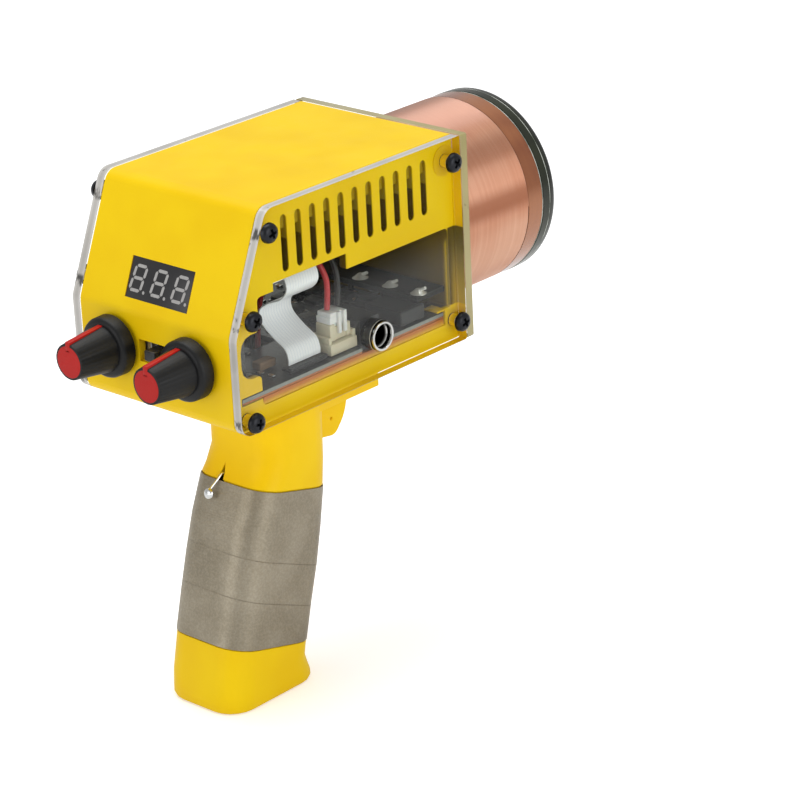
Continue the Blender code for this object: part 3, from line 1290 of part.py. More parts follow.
def make_grip():
    """The raked grip with its trigger block, hollow for the battery."""
    heights = [share[0] * GRIP_HEIGHT for share in GRIP_SHARES]
    seat = TAPE_PROUD - TAPE_THICK - GAP
    below = [h for h in heights if GRIP_FOOT_RADIUS < h < TAPE_BOTTOM - TAPE_TILT * GRIP_DEPTH / 2]
    above = [h for h in heights if TAPE_TOP + TAPE_TILT * GRIP_DEPTH / 2 < h < GRIP_HEIGHT]
    rings = [grip_ring(0, grow=-GRIP_FOOT_RADIUS), grip_ring(GRIP_FOOT_RADIUS / 3, grow=-GRIP_FOOT_RADIUS / 3),
             grip_ring(GRIP_FOOT_RADIUS)]
    rings += [grip_ring(h) for h in below]
    rings += [grip_ring(TAPE_BOTTOM - GAP, TAPE_TILT), grip_ring(TAPE_BOTTOM - GAP, TAPE_TILT, seat)]
    steps = TAPE_RINGS - 1
    for step in range(1, steps):
        rings.append(grip_ring(TAPE_BOTTOM + (TAPE_TOP - TAPE_BOTTOM) * step / steps, TAPE_TILT, seat))
    rings += [grip_ring(TAPE_TOP + GAP, TAPE_TILT, seat), grip_ring(TAPE_TOP + GAP, TAPE_TILT)]
    rings += [grip_ring(h) for h in above]
    rings.append(grip_ring(GRIP_HEIGHT - GAP))
    grip = loft("grip_shell", rings, False, YELLOW)
    join(grip, trigger_block())
    cut(grip, *grip_cutters())
    return grip


def trigger_block():
    """The block ahead of the grip that carries the trigger."""
    corners = [(-BLOCK_HALF, BLOCK_REAR, 0), (BLOCK_HALF, BLOCK_REAR, 0),
               (BLOCK_HALF, BLOCK_FRONT, BLOCK_EDGE), (-BLOCK_HALF, BLOCK_FRONT, BLOCK_EDGE)]
    thick = BLOCK_DEPTH - GAP
    return slab("trigger_block", rounded(corners, 3), "XY", -GAP - thick / 2, thick)


def grip_cutters():
    """Battery hollow, neck, trigger bay, switch pocket, pin and screw holes, and the slit."""
    inner = [grip_ring(height, grow=-GRIP_WALL) for height in
             [GRIP_FLOOR] + [s[0] * GRIP_HEIGHT for s in GRIP_SHARES
                             if GRIP_FLOOR < s[0] * GRIP_HEIGHT < GRIP_CAVITY_TOP] + [GRIP_CAVITY_TOP]]
    made = [loft("battery_hollow", inner, False)]
    made.append(box("grip_neck", (-NECK_HALF, NECK_REAR, GRIP_CAVITY_TOP - GRIP_HEIGHT - OVERRUN),
                    (NECK_HALF, NECK_FRONT, OVERRUN)))
    bay = TRIGGER_HALF + TRIGGER_SIDE_PLAY
    made.append(box("trigger_bay", (-bay, TRIGGER_BAY_REAR, -TRIGGER_BAY_DROP),
                    (bay, TRIGGER_BAY_FRONT, -BLOCK_ROOF)))
    pocket = SENSOR_HALF + GAP
    made.append(box("sensor_pocket", (-pocket, SENSOR_FRONT - SENSOR_DEPTH - GAP, -BLOCK_ROOF - SENSOR_HEIGHT - 2 * GAP),
                    (pocket, TRIGGER_BAY_REAR + GAP, -BLOCK_ROOF - GAP / 2)))
    hole = TRIGGER_PIN_HALF + GAP
    made.append(rod("pin_hole", TRIGGER_PIN_RADIUS + GAP, (-hole, TRIGGER_PIN_Y, -TRIGGER_PIN_DROP),
                    (hole, TRIGGER_PIN_Y, -TRIGGER_PIN_DROP), "+X"))
    for x, y in grip_screw_places():
        made.append(rod("grip_boss_hole", SCREW_HOLE, (x, y, -GRIP_SCREW_BITE - 2 * GAP), (x, y, OVERRUN), "+Z"))
    top = SLIT_TOP - GRIP_HEIGHT
    foot = TAPE_TOP - GRIP_HEIGHT
    rear, depth = grip_station(TAPE_TOP)
    outline = [(SLIT_X, top), (SLIT_X - SLIT_WIDTH / 2, foot), (SLIT_X + SLIT_WIDTH / 2, foot)]
    made.append(slab("wire_slit", outline, "XZ", -(rear + GRIP_BASE_Y + GRIP_WALL), 4 * OVERRUN))
    return made


def make_tape():
    """The conductive cloth wrapped round the grip."""
    outer = TAPE_PROUD
    inner = TAPE_PROUD - TAPE_THICK
    steps = TAPE_RINGS - 1
    levels = [TAPE_BOTTOM + (TAPE_TOP - TAPE_BOTTOM) * step / steps for step in range(steps + 1)]
    rings = [grip_ring(level, TAPE_TILT, outer) for level in levels]
    rings += [grip_ring(level, TAPE_TILT, inner) for level in reversed(levels)]
    return loft("conductive_tape", rings, True, CLOTH)


def make_ground():
    """The ground wire out of the slit, with the solder bead that ends it on the tape."""
    depth = grip_station(TAPE_TOP)[1]
    level = TAPE_TOP + TAPE_TILT * depth / 2 - 2 * BEAD_RADIUS
    rear = grip_station(level)[0]
    flat = BEAD_RADIUS * BEAD_FLATNESS_SHARE
    shape = bmesh.new()
    bmesh.ops.create_uvsphere(shape, u_segments=12, v_segments=8, radius=BEAD_RADIUS)
    bmesh.ops.scale(shape, vec=(1, BEAD_FLATNESS_SHARE, 1), verts=shape.verts)
    data = bpy.data.meshes.new("solder_bead")
    shape.to_mesh(data)
    shape.free()
    lean = math.atan2(GRIP_SWEEP, GRIP_HEIGHT)
    middle = Vector((SLIT_X - BEAD_RADIUS / 2, rear - TAPE_PROUD - flat - 2 * GAP, level))
    bead = settle(add("solder_bead", data), middle, (-lean, 0, 0))
    enter = TAPE_TOP + TAPE_TILT * depth / 2 + GROUND_RADIUS + 2 * GAP
    foot = grip_station(enter)[0]
    high = grip_station(SLIT_TOP)[0]
    clear = TAPE_PROUD + GROUND_RADIUS + 2 * GAP
    route = [Vector((middle.x, middle.y, middle.z + BEAD_RADIUS / 2)),
             Vector((SLIT_X, foot - clear - GROUND_RADIUS, enter - 2 * GROUND_RADIUS)),
             Vector((SLIT_X, foot - GAP, enter + GAP)),
             Vector((SLIT_X, foot + GRIP_WALL, enter + GAP)),
             Vector((SLIT_X, high + 2 * GRIP_WALL, enter + GROUND_RADIUS)),
             Vector((SLIT_X, high + 3 * GRIP_WALL, SLIT_TOP + GAP))]
    points, length = smooth_route([point - at(0, 0, 0) for point in route], 5 * GROUND_RADIUS)
    print(f"ground wire: {length * 1000:.0f} mm long")
    drawn = wire("ground_wire_route", points, GROUND_RADIUS, None)
    return join(as_mesh(drawn, "ground_wire", SOLDER), bead)


def make_battery():
    """The shrink-wrapped battery pack that fills the grip's hollow."""
    grow = -GRIP_WALL - BATTERY_PLAY
    foot = GRIP_FLOOR + GAP
    heights = [foot] + [share[0] * GRIP_HEIGHT for share in GRIP_SHARES
                        if foot < share[0] * GRIP_HEIGHT < BATTERY_TOP] + [BATTERY_TOP]
    return loft("battery_pack", [grip_ring(height, grow=grow) for height in heights], False, BLUE)


def make_trigger():
    """The trigger on its pin, with the nose that presses the switch."""
    back = TRIGGER_BACK
    front = TRIGGER_FRONT
    bay = -BLOCK_DEPTH
    nose = SENSOR_FRONT + PLUNGER_REACH + GAP
    corners = [
        (back, -TRIGGER_DROP + TRIGGER_TOE_RADIUS / 2, TRIGGER_TOE_RADIUS / 3),
        (TRIGGER_TOE_Y - TRIGGER_TOE_RADIUS / 2, -TRIGGER_DROP, TRIGGER_TOE_RADIUS),
        (TRIGGER_TOE_Y + TRIGGER_TOE_RADIUS, (bay - TRIGGER_DROP) / 2 - TRIGGER_TOE_RADIUS / 2, 4 * TRIGGER_TOE_RADIUS),
        (front, bay, TRIGGER_TOE_RADIUS),
        (front, -TRIGGER_PIN_DROP - TRIGGER_EYE_RADIUS / 2, TRIGGER_EYE_RADIUS / 3),
        (TRIGGER_PIN_Y + TRIGGER_EYE_RADIUS, -TRIGGER_PIN_DROP + TRIGGER_EYE_RADIUS, TRIGGER_EYE_RADIUS / 2),
        (TRIGGER_PIN_Y - TRIGGER_EYE_RADIUS, -TRIGGER_PIN_DROP + TRIGGER_EYE_RADIUS, TRIGGER_EYE_RADIUS / 2),
        (back, -TRIGGER_NOSE_DROP + TRIGGER_NOSE_HEIGHT, 0),
        (nose, -TRIGGER_NOSE_DROP + TRIGGER_NOSE_HEIGHT, TRIGGER_NOSE_HEIGHT / 6),
        (nose, -TRIGGER_NOSE_DROP, TRIGGER_NOSE_HEIGHT / 6),
        (back, -TRIGGER_NOSE_DROP, 0),
    ]
    trigger = slab("trigger", rounded(corners, 4), "YZ", 0, 2 * TRIGGER_HALF, YELLOW)
    reach = TRIGGER_HALF + OVERRUN
    cut(trigger, rod("trigger_bore", TRIGGER_PIN_RADIUS + GAP, (-reach, TRIGGER_PIN_Y, -TRIGGER_PIN_DROP),
                     (reach, TRIGGER_PIN_Y, -TRIGGER_PIN_DROP), "+X"))
    for side in (-1, 1):
        ends = sorted((side * (TRIGGER_HALF - 2 * TRIGGER_DIMPLE_RADIUS), side * reach))
        cut(trigger, rod("trigger_dimple", TRIGGER_DIMPLE_RADIUS,
                         (ends[0], TRIGGER_DIMPLE_Y, -TRIGGER_DIMPLE_DROP),
                         (ends[1], TRIGGER_DIMPLE_Y, -TRIGGER_DIMPLE_DROP), "+X", steps=8))
    rod("trigger_pin", TRIGGER_PIN_RADIUS, (-TRIGGER_PIN_HALF, TRIGGER_PIN_Y, -TRIGGER_PIN_DROP),
        (TRIGGER_PIN_HALF, TRIGGER_PIN_Y, -TRIGGER_PIN_DROP), "+X", STEEL)


def make_sensor():
    """The microswitch behind the trigger, and its plunger."""
    top = -BLOCK_ROOF - GAP
    body = box("microswitch_body", (-SENSOR_HALF, SENSOR_FRONT - SENSOR_DEPTH, top - SENSOR_HEIGHT),
               (SENSOR_HALF, SENSOR_FRONT, top), BLACK)
    root = SENSOR_FRONT - PLUNGER_ROOT
    cut(body, rod("plunger_bore", PLUNGER_RADIUS + GAP, (0, root, -PLUNGER_DROP),
                  (0, SENSOR_FRONT + OVERRUN, -PLUNGER_DROP), "+Y", steps=12))
    rod("microswitch_plunger", PLUNGER_RADIUS, (0, root + 2 * GAP + PLUNGER_REACH / 2, -PLUNGER_DROP),
        (0, SENSOR_FRONT + PLUNGER_REACH, -PLUNGER_DROP), "+Y", RED, 12)


def build():
    """Make every piece of the handheld coil."""
    make_housing()
    make_side_panel("side_panel_right", 1)
    make_side_panel("side_panel_left", -1)
    make_front_plate()
    make_screws()
    make_coil()
    make_coil_base()
    make_boards()
    make_battery_connector()
    make_charge_socket()
    make_ribbon()
    make_display()
    make_controls()
    make_grip()
    make_tape()
    make_ground()
    make_battery()
    make_trigger()
    make_sensor()


build()
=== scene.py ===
# %% [markdown]
# # A handheld high-voltage coil
# The real object is a yellow pistol grip housing with clear screwed sides, a copper
# coil in front, and two dials, a display and a switch at the rear. The frame has every
# solid in its place. This lesson gives them their finishes and fine forms.

# %% Load the frame
import math
import random

import bmesh
import bpy
from mathutils import Matrix, Vector


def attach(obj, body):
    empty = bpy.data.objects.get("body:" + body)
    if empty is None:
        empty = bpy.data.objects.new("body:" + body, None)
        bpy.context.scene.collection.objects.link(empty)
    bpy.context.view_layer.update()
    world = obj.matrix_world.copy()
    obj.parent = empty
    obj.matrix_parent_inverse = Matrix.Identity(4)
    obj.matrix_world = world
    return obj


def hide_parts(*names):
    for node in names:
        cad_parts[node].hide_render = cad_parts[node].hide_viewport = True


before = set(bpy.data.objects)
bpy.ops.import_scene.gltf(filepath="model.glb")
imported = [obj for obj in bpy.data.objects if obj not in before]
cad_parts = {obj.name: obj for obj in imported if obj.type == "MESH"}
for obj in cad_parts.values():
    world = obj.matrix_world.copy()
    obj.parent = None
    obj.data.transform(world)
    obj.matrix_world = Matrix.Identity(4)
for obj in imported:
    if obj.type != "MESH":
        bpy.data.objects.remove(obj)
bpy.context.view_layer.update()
print("frame loaded:", len(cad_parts), "nodes")

# %% [markdown]
# ## Places
# The housing was measured from the foot of its rear face, in millimetres, with X to
# the right, Y forwards and Z up. The frame's origin is under the grip. One helper turns
# the first into the second, so every later number is a measurement of the real thing.
# The rear face slants forwards from a bend to the roof.

# %% Places in millimetres
MM = 0.001
FOOT_Y, FOOT_Z = 23.1, 89.1
ORIGIN = Vector((0, -FOOT_Y * MM, FOOT_Z * MM))
BEND_Z = 26.65
ROOF_Y, ROOF_Z = 13.2, 58.4
SLANT = math.atan2(ROOF_Y, ROOF_Z - BEND_Z)


def at(x, y, z):
    """Place in the frame of a point measured on the housing."""
    return ORIGIN + Vector((x, y, z)) * MM


def add_object(name, data):
    """A new object in the scene."""
    made = bpy.data.objects.new(name, data)
    bpy.context.scene.collection.objects.link(made)
    return made


def mesh_of(shape, name):
    """Turn a bmesh into a mesh, and free it."""
    data = bpy.data.meshes.new(name)
    shape.to_mesh(data)
    shape.free()
    return data


print("the rear face slants by", round(math.degrees(SLANT), 1), "degrees")

# %% [markdown]
# ## Camera
# The photograph was taken from behind, to the right and above, with a long lens and a
# slight roll. Straight edges of the housing and the round of the coil fix the camera.

# %% Camera
PHOTO_WIDTH = 800
SENSOR = 36.0
FOCAL_PIXELS = 3113.2
AZIMUTH, ELEVATION, ROLL = (math.radians(angle) for angle in (42.845, 22.1, -2.727))
TARGET = at(45.088, 44, -0.124)
DISTANCE = 816.894 * MM


def make_camera():
    """Stand the camera where the photograph was taken."""
    back = Vector((math.sin(AZIMUTH) * math.cos(ELEVATION),
                   -math.cos(AZIMUTH) * math.cos(ELEVATION), math.sin(ELEVATION)))
    level = (-back).cross(Vector((0, 0, 1))).normalized()
    upright = level.cross(-back)
    right = level * math.cos(ROLL) + upright * math.sin(ROLL)
    up = upright * math.cos(ROLL) - level * math.sin(ROLL)
    data = bpy.data.cameras.new("camera")
    data.sensor_width = SENSOR
    data.lens = FOCAL_PIXELS / PHOTO_WIDTH * SENSOR
    data.clip_start = 0.01
    camera = add_object("camera", data)
    turn = Matrix((right, up, back)).transposed().to_4x4()
    camera.matrix_world = Matrix.Translation(TARGET + back * DISTANCE) @ turn
    bpy.context.scene.camera = camera
    print("lens", round(data.lens, 1), "mm")


make_camera()

# %% [markdown]
# ## Shader arithmetic
# A finish is mostly sums on patterns: a grain times a strength plus a base. Written
# as nodes these sums are long, so one class wraps a socket and lets Python's own
# signs add the Math nodes.

# %% Sums on sockets
class Level:
    """A number that changes over a surface."""

    def __init__(self, finish, socket):
        self.finish = finish
        self.socket = socket

    def sum(self, operation, first, second):
        """Add one Math node."""
        made = self.finish.node("ShaderNodeMath", {"operation": operation}, {0: first, 1: second})
        return Level(self.finish, made.outputs[0])

    def __add__(self, other):
        return self.sum("ADD", self, other)

    __radd__ = __add__

    def __mul__(self, other):
        return self.sum("MULTIPLY", self, other)

    __rmul__ = __mul__

    def __sub__(self, other):
        return self.sum("SUBTRACT", self, other)

    def __rsub__(self, other):
        return self.sum("SUBTRACT", other, self)

    def absolute(self):
        """The number without its sign."""
        return self.sum("ABSOLUTE", self, 0.0)

    def between(self, low, high):
        """Zero below low, one above high, and smooth between them."""
        made = self.finish.node("ShaderNodeMapRange", {"interpolation_type": "SMOOTHSTEP"},
                                {"Value": self, "From Min": low, "From Max": high})
        return Level(self.finish, made.outputs["Result"])

    def within(self, start, low, high, end):
        """One from low to high, and zero before start and after end."""
        return self.between(start, low) * (1 - self.between(high, end))

    def near(self, level, inside, outside):
        """One within a distance of a level, and zero farther off."""
        return 1 - (self - level).absolute().between(inside, outside)


def off_axis(forward, up, middle):
    """Squared distance from an axis that runs along X."""
    first, second = forward - middle[0], up - middle[1]
    return first * first + second * second


def tint(red, green, blue):
    """A colour written as on a screen, 0 to 255, as the shader needs it."""
    values = []
    for part in (red, green, blue):
        share = part / 255
        values.append(share / 12.92 if share <= 0.04045 else ((share + 0.055) / 1.055) ** 2.4)
    return (*values, 1.0)


# %% [markdown]
# ## A finish
# Each finish is one material, and holds the name of its slot. Constants are set on the
# shader, and what varies, such as colour, roughness or a bump, is linked from patterns
# that read the piece's own place, so the grain has its real size on every piece.

# %% The finish class
class Tree:
    """The nodes of a world or a material."""

    def __init__(self, owner):
        owner.use_nodes = True
        self.tree = owner.node_tree

    def node(self, kind, settings=None, inputs=None):
        """Add a node, with its settings and then its sockets."""
        made = self.tree.nodes.new(kind)
        for key, value in (settings or {}).items():
            setattr(made, key, value)
        for key, value in (inputs or {}).items():
            self.feed(made.inputs[key], value)
        return made

    def feed(self, socket, value):
        """Link a level or a socket, or set a plain value."""
        source = value.socket if isinstance(value, Level) else value
        if isinstance(source, bpy.types.NodeSocket):
            self.tree.links.new(source, socket)
        else:
            socket.default_value = source


class Finish(Tree):
    """A material, and short ways to add patterns to it."""

    def __init__(self, name, slot, **fixed):
        self.slot = slot
        self.material = bpy.data.materials.new(name)
        super().__init__(self.material)
        self.shader = self.tree.nodes["Principled BSDF"]
        self.output = self.tree.nodes["Material Output"]
        self.coordinates = self.node("ShaderNodeTexCoord").outputs["Object"]
        self.set(**fixed)

    def measure(self, axis):
        """The place along one axis, in housing millimetres."""
        parts = self.node("ShaderNodeSeparateXYZ", None, {0: self.coordinates})
        return Level(self, parts.outputs[axis]) * 1000 + {"X": 0, "Y": FOOT_Y, "Z": -FOOT_Z}[axis]

    def stretch(self, scale):
        """The piece's coordinates in metres, with a scale for each axis."""
        return self.node("ShaderNodeMapping", None,
                         {"Vector": self.coordinates, "Scale": scale}).outputs[0]

    def noise(self, scale, detail=3.0, roughness=0.5):
        """Cloudy pattern from 0 to 1, with one scale or one for each axis."""
        each = isinstance(scale, tuple)
        made = self.node("ShaderNodeTexNoise", None,
                         {"Vector": self.stretch(scale) if each else self.coordinates,
                          "Scale": 1.0 if each else scale, "Detail": detail,
                          "Roughness": roughness})
        return Level(self, made.outputs["Fac"])

    def wave(self, direction, scale):
        """Parallel lines from 0 to 1, with a scale for each axis."""
        made = self.node("ShaderNodeTexWave", {"bands_direction": direction},
                         {"Vector": self.stretch(scale), "Scale": 1.0})
        return Level(self, made.outputs["Fac"])

    def mix(self, factor, first, second):
        """Blend two colours, each a socket or a tint of three numbers."""
        pair = [tint(*colour) if isinstance(colour, tuple) else colour
                for colour in (first, second)]
        made = self.node(
            "ShaderNodeMix", {"data_type": "RGBA"}, {0: factor, 6: pair[0], 7: pair[1]})
        return made.outputs[2]

    def set(self, **inputs):
        """Feed the shader's sockets by name, with _ for a space."""
        for key, value in inputs.items():
            self.feed(self.shader.inputs[key.replace("_", " ")], value)
        return self

    def paint(self, factor, first, second, **inputs):
        """Blend two colours for the base colour."""
        return self.set(Base_Color=self.mix(factor, first, second), **inputs)

    def bump(self, height, depth, strength=1.0):
        """Raise the surface by a height pattern, with its depth in millimetres."""
        made = self.node("ShaderNodeBump", None,
                         {"Height": height, "Distance": depth * MM, "Strength": strength})
        self.feed(self.shader.inputs["Normal"], made.outputs[0])


def drifting(name, slot, scale, dark, light, detail=3.0, **fixed):
    """A finish whose colour drifts between two tints."""
    made = Finish(name, slot, **fixed)
    return made.paint(made.noise(scale, detail), dark, light)


# %% [markdown]
# ## Light and floor
# The photograph has the even light of a white tent. A pale world gives most of it, a
# wide lamp above makes the roof brightest, and two weaker ones light the clear side and
# the dials. The world is white to the camera, and dimmer as a lamp.

# %% World, lamps and floor
WORLD_LEVEL = 0.52
FLOOR_GLOW = 0.40
LAMP_AIM = Vector((0, 0.03, 0.10))
LAMPS = {
    "top_box": ((-0.20, 0.12, 1.00), 0.8, 5.9), "right_box": ((0.90, -0.10, 0.36), 0.7, 3),
    "rear_box": ((-0.20, -0.95, 0.30), 0.6, 2)}


def make_world():
    """A white room: white to look at, dimmer as a lamp."""
    world = bpy.data.worlds.new("tent")
    bpy.context.scene.world = world
    room = Tree(world)
    room.tree.nodes.clear()
    paths = room.node("ShaderNodeLightPath").outputs
    seen = room.node("ShaderNodeMath", {"operation": "MAXIMUM"},
                     {0: paths["Is Camera Ray"], 1: paths["Is Transmission Ray"]})
    strength = room.node("ShaderNodeMapRange", None,
                         {"Value": seen.outputs[0], "To Min": WORLD_LEVEL, "To Max": 1.0})
    glow = room.node("ShaderNodeBackground", None,
                     {"Color": (1, 1, 1, 1), "Strength": strength.outputs["Result"]})
    room.node("ShaderNodeOutputWorld", None, {"Surface": glow.outputs[0]})


def make_lamp(name, place, size, power):
    """A square soft box that looks at the part."""
    data = bpy.data.lights.new(name, "AREA")
    data.size = size
    data.energy = power
    lamp = add_object(name, data)
    lamp.location = place
    lamp.rotation_euler = (LAMP_AIM - Vector(place)).to_track_quat("-Z", "Y").to_euler()


def make_floor():
    """The pale sheet that the grip stands on."""
    shape = bmesh.new()
    bmesh.ops.create_grid(shape, x_segments=1, y_segments=1, size=4.0)
    data = mesh_of(shape, "floor")
    floor = add_object("floor", data)
    sheet = Finish("floor_sheet", None, Base_Color=(0.93, 0.93, 0.93, 1), Roughness=0.9,
                   Specular_IOR_Level=0.0, Emission_Strength=FLOOR_GLOW)
    sheet.set(Emission_Color=sheet.node("ShaderNodeLightPath").outputs["Is Camera Ray"])
    data.materials.append(sheet.material)


bpy.context.scene.view_settings.view_transform = "Standard"
make_world()
for name, (place, size, power) in LAMPS.items():
    make_lamp(name, place, size, power)
make_floor()
print("a world,", len(LAMPS), "lamps and a floor")

# %% [markdown]
# ## Making pieces
# A finished piece has its place in its mesh and its object at the origin. One helper
# turns a bmesh into a piece, and one takes a copy of a frame solid, joins its loose
# triangles and rounds its edges, which makes a moulding catch the light. The others
# spin a profile, add a block, and join one shape to another.

# %% Pieces from shapes and from solids
SHARP = math.radians(35)
WELD = 1e-6
TURN = {
    "+Y": Matrix.Rotation(-math.pi / 2, 4, "X"),
    "-Y": Matrix.Rotation(math.pi / 2, 4, "X"),
    "+X": Matrix.Rotation(math.pi / 2, 4, "Y"),
    "-X": Matrix.Rotation(-math.pi / 2, 4, "Y"),
    "+Z": Matrix.Identity(4),
}


def piece(name, shape, finish, *stands_for, body="body", normals=True):
    """Turn a bmesh into a piece that rides on a body and stands for solids."""
    if normals:
        bmesh.ops.recalc_face_normals(shape, faces=shape.faces)
    data = mesh_of(shape, name)
    data.shade_smooth()
    data.set_sharp_from_angle(angle=SHARP)
    material, slot = finish.material, finish.slot
    data.materials.append(material)
    made = add_object(name, data)
    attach(made, body)
    if stands_for:
        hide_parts(*stands_for)
    print(f"{name}: {len(data.polygons)} faces")
    return made


def merged(node):
    """A copy of a solid with its triangles joined to flats."""
    shape = bmesh.new()
    shape.from_mesh(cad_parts[node].data)
    bmesh.ops.remove_doubles(shape, verts=shape.verts, dist=2 * WELD)
    bmesh.ops.dissolve_limit(
        shape, angle_limit=math.radians(0.6), verts=shape.verts, edges=shape.edges)
    return shape


def dress(node, finish, edge, body="body", segments=2):
    """Show a solid as a smooth piece with rounded edges."""
    made = piece(node + "_piece", merged(node), finish, node, body=body, normals=False)
    rounding = made.modifiers.new("edges", "BEVEL")
    rounding.width = edge * MM
    rounding.segments = segments
    rounding.limit_method = "ANGLE"
    rounding.angle_limit = SHARP


def turned(profile, place, axis, steps, rise=0.0):
    """Spin a profile of radius and height about an axis."""
    shape = bmesh.new()
    line = [shape.verts.new((radius * MM, 0, height * MM)) for radius, height in profile]
    for pair in zip(line, line[1:]):
        shape.edges.new(pair)
    bmesh.ops.spin(shape, geom=shape.verts[:] + shape.edges[:], cent=(0, 0, 0), axis=(0, 0, 1),
                   angle=math.tau, steps=steps, use_merge=not rise, dvec=(0, 0, rise * MM / steps))
    bmesh.ops.remove_doubles(shape, verts=shape.verts, dist=WELD)
    bmesh.ops.transform(shape, matrix=Matrix.Translation(place) @ TURN[axis], verts=shape.verts)
    return shape


def block(low, high, edge=0.0, into=None):
    """A box between opposite corners, added to a bmesh."""
    shape = into or bmesh.new()
    made = bmesh.ops.create_cube(shape, size=1.0)["verts"]
    size = [abs(b - a) * MM for a, b in zip(low, high)]
    bmesh.ops.scale(shape, vec=size, verts=made)
    middle = at(*[(a + b) / 2 for a, b in zip(low, high)])
    bmesh.ops.translate(shape, vec=middle, verts=made)
    if edge:
        edges = list({e for v in made for e in v.link_edges})
        bmesh.ops.bevel(shape, geom=edges, offset=edge * MM, segments=2, profile=0.5,
                        affect="EDGES", material=-1)
    return shape


def join(shape, other, matrix=Matrix.Identity(4)):
    """Move a bmesh into another one, through a matrix."""
    data = mesh_of(other, "copy")
    data.transform(matrix)
    shape.from_mesh(data)
    bpy.data.meshes.remove(data)


# %% [markdown]
# ## Yellow mouldings
# The housing, the grip and the trigger are one satin yellow plastic. It is never one
# flat colour: it has a fine grain a few hundredths of a millimetre deep, faint
# clouding, and a roughness that drifts. Inside its walls the housing is painted brown
# as painted shade, with paler painted shade on the front wall and rail, and a column
# is painted with the shade and light of the wall behind it.

# %% Yellow plastic
COLUMN = (9.9, 10.3, 32.2, 32.6)
PLAIN_YELLOW = {"Specular_IOR_Level": 0.14}

yellow = Finish("yellow_plastic", "yellow_plastic", **PLAIN_YELLOW)
cloud = yellow.noise(45, 2)
grain = yellow.noise(2600, 2)
across, along, height = (yellow.measure(axis) for axis in "XYZ")
aside = across.absolute()
leaned = along * math.cos(SLANT) - (height - BEND_Z) * math.sin(SLANT)
# painted shade: the inner faces of the walls and the sides of the slots are painted brown, the
# front wall and the rail a paler brown
deep = (1 - aside.between(25.1, 27.3)
        + height.between(27, 31) * (1 - aside.between(26.9, 27.45)))
inside = (deep.between(0, 1) * height.within(1.9, 2.45, 55.95, 56.4)
          * along.between(1.9, 2.45) * leaned.between(1.9, 2.45))
front_wall = along.within(84, 85.2, 85.7, 86.4)
rail = height.between(46.8, 47.3) * aside.between(21.4, 22.2)
column = along.between(84.7, 85.2) * aside.between(26.6, 27) * height.within(*COLUMN)

outer = yellow.mix(cloud.between(0.3, 0.7), (237, 195, 4), (243, 205, 8))
shade = yellow.mix(front_wall, (62, 40, 12), (62, 48, 20))
shade = yellow.mix(front_wall * aside.between(8, 25), shade, (112, 88, 26))
shade = yellow.mix(rail, shade, (158, 132, 26))
# painted shade and light: the front column is painted like the shaded wall behind it, paler low
# down and darker upwards and at its rear edge
glow = yellow.mix(height.between(10, 31), (196, 160, 44), (104, 88, 30))
glow = yellow.mix(along.between(84.8, 88), (84, 68, 26), glow)
yellow.paint(column, yellow.mix(inside * 0.9, outer, shade), glow,
             Roughness=0.36 + 0.12 * yellow.noise(160))
yellow.bump(grain, 0.04)

dress("main_housing", yellow, 0.3)
dress("grip_shell", yellow, 0.3)
dress("trigger", yellow, 0.4, "trigger")

# %% [markdown]
# ## Clear sheets
# The sides and the front are cut acrylic sheet. Its faces show only a weak veil of
# reflected room, made stronger low on the sheet as a painted reflection, while its sawn
# edges look pale grey with dark specks. One material does both: it looks at which way
# the surface faces. Near the screws, and along the lower and front edges of the sides,
# the sheet is painted yellow as a painted reflection of the housing, with painted shade
# that darkens the front edge upwards.

# %% Clear acrylic
SCREWS = {
    "rear_top": (13.4, 52.2), "rear_middle": (5.8, 30.6), "rear_bottom": (4.6, 3.2),
    "front_bottom": (85.5, 5.9), "front_top": (84.5, 51.7)}
MARK_LEVELS = (3.2, 30.6, 52.2)
JACK_AXIS = (53.6, 11.7)
SHEET_MIDDLE, SHEET_OUT = 29.15, 30.8
LOW_VEIL, HIGH_VEIL = 0.04, 0.003


def painted_reflection(made, colour, aside, forward, up):
    """Painted reflection of the yellow housing in a side sheet's lower and front edges, with
    painted shade, and where it shows.
    """
    below = ((1 - up.between(0.1, 0.3)) * forward.between(0.8, 2)
             * (1 - aside.between(30.25, 30.4)))
    mirrors = 1 - (1 - below) * (1 - forward.between(87.5, 87.75))
    # painted shade: on the front edge the painted yellow darkens upwards
    glow = made.mix(up.between(10, 31), (204, 172, 60), (112, 98, 40))
    glow = made.mix(up.within(*COLUMN), (240, 196, 24), glow)
    return made.mix(mirrors, colour, glow), mirrors


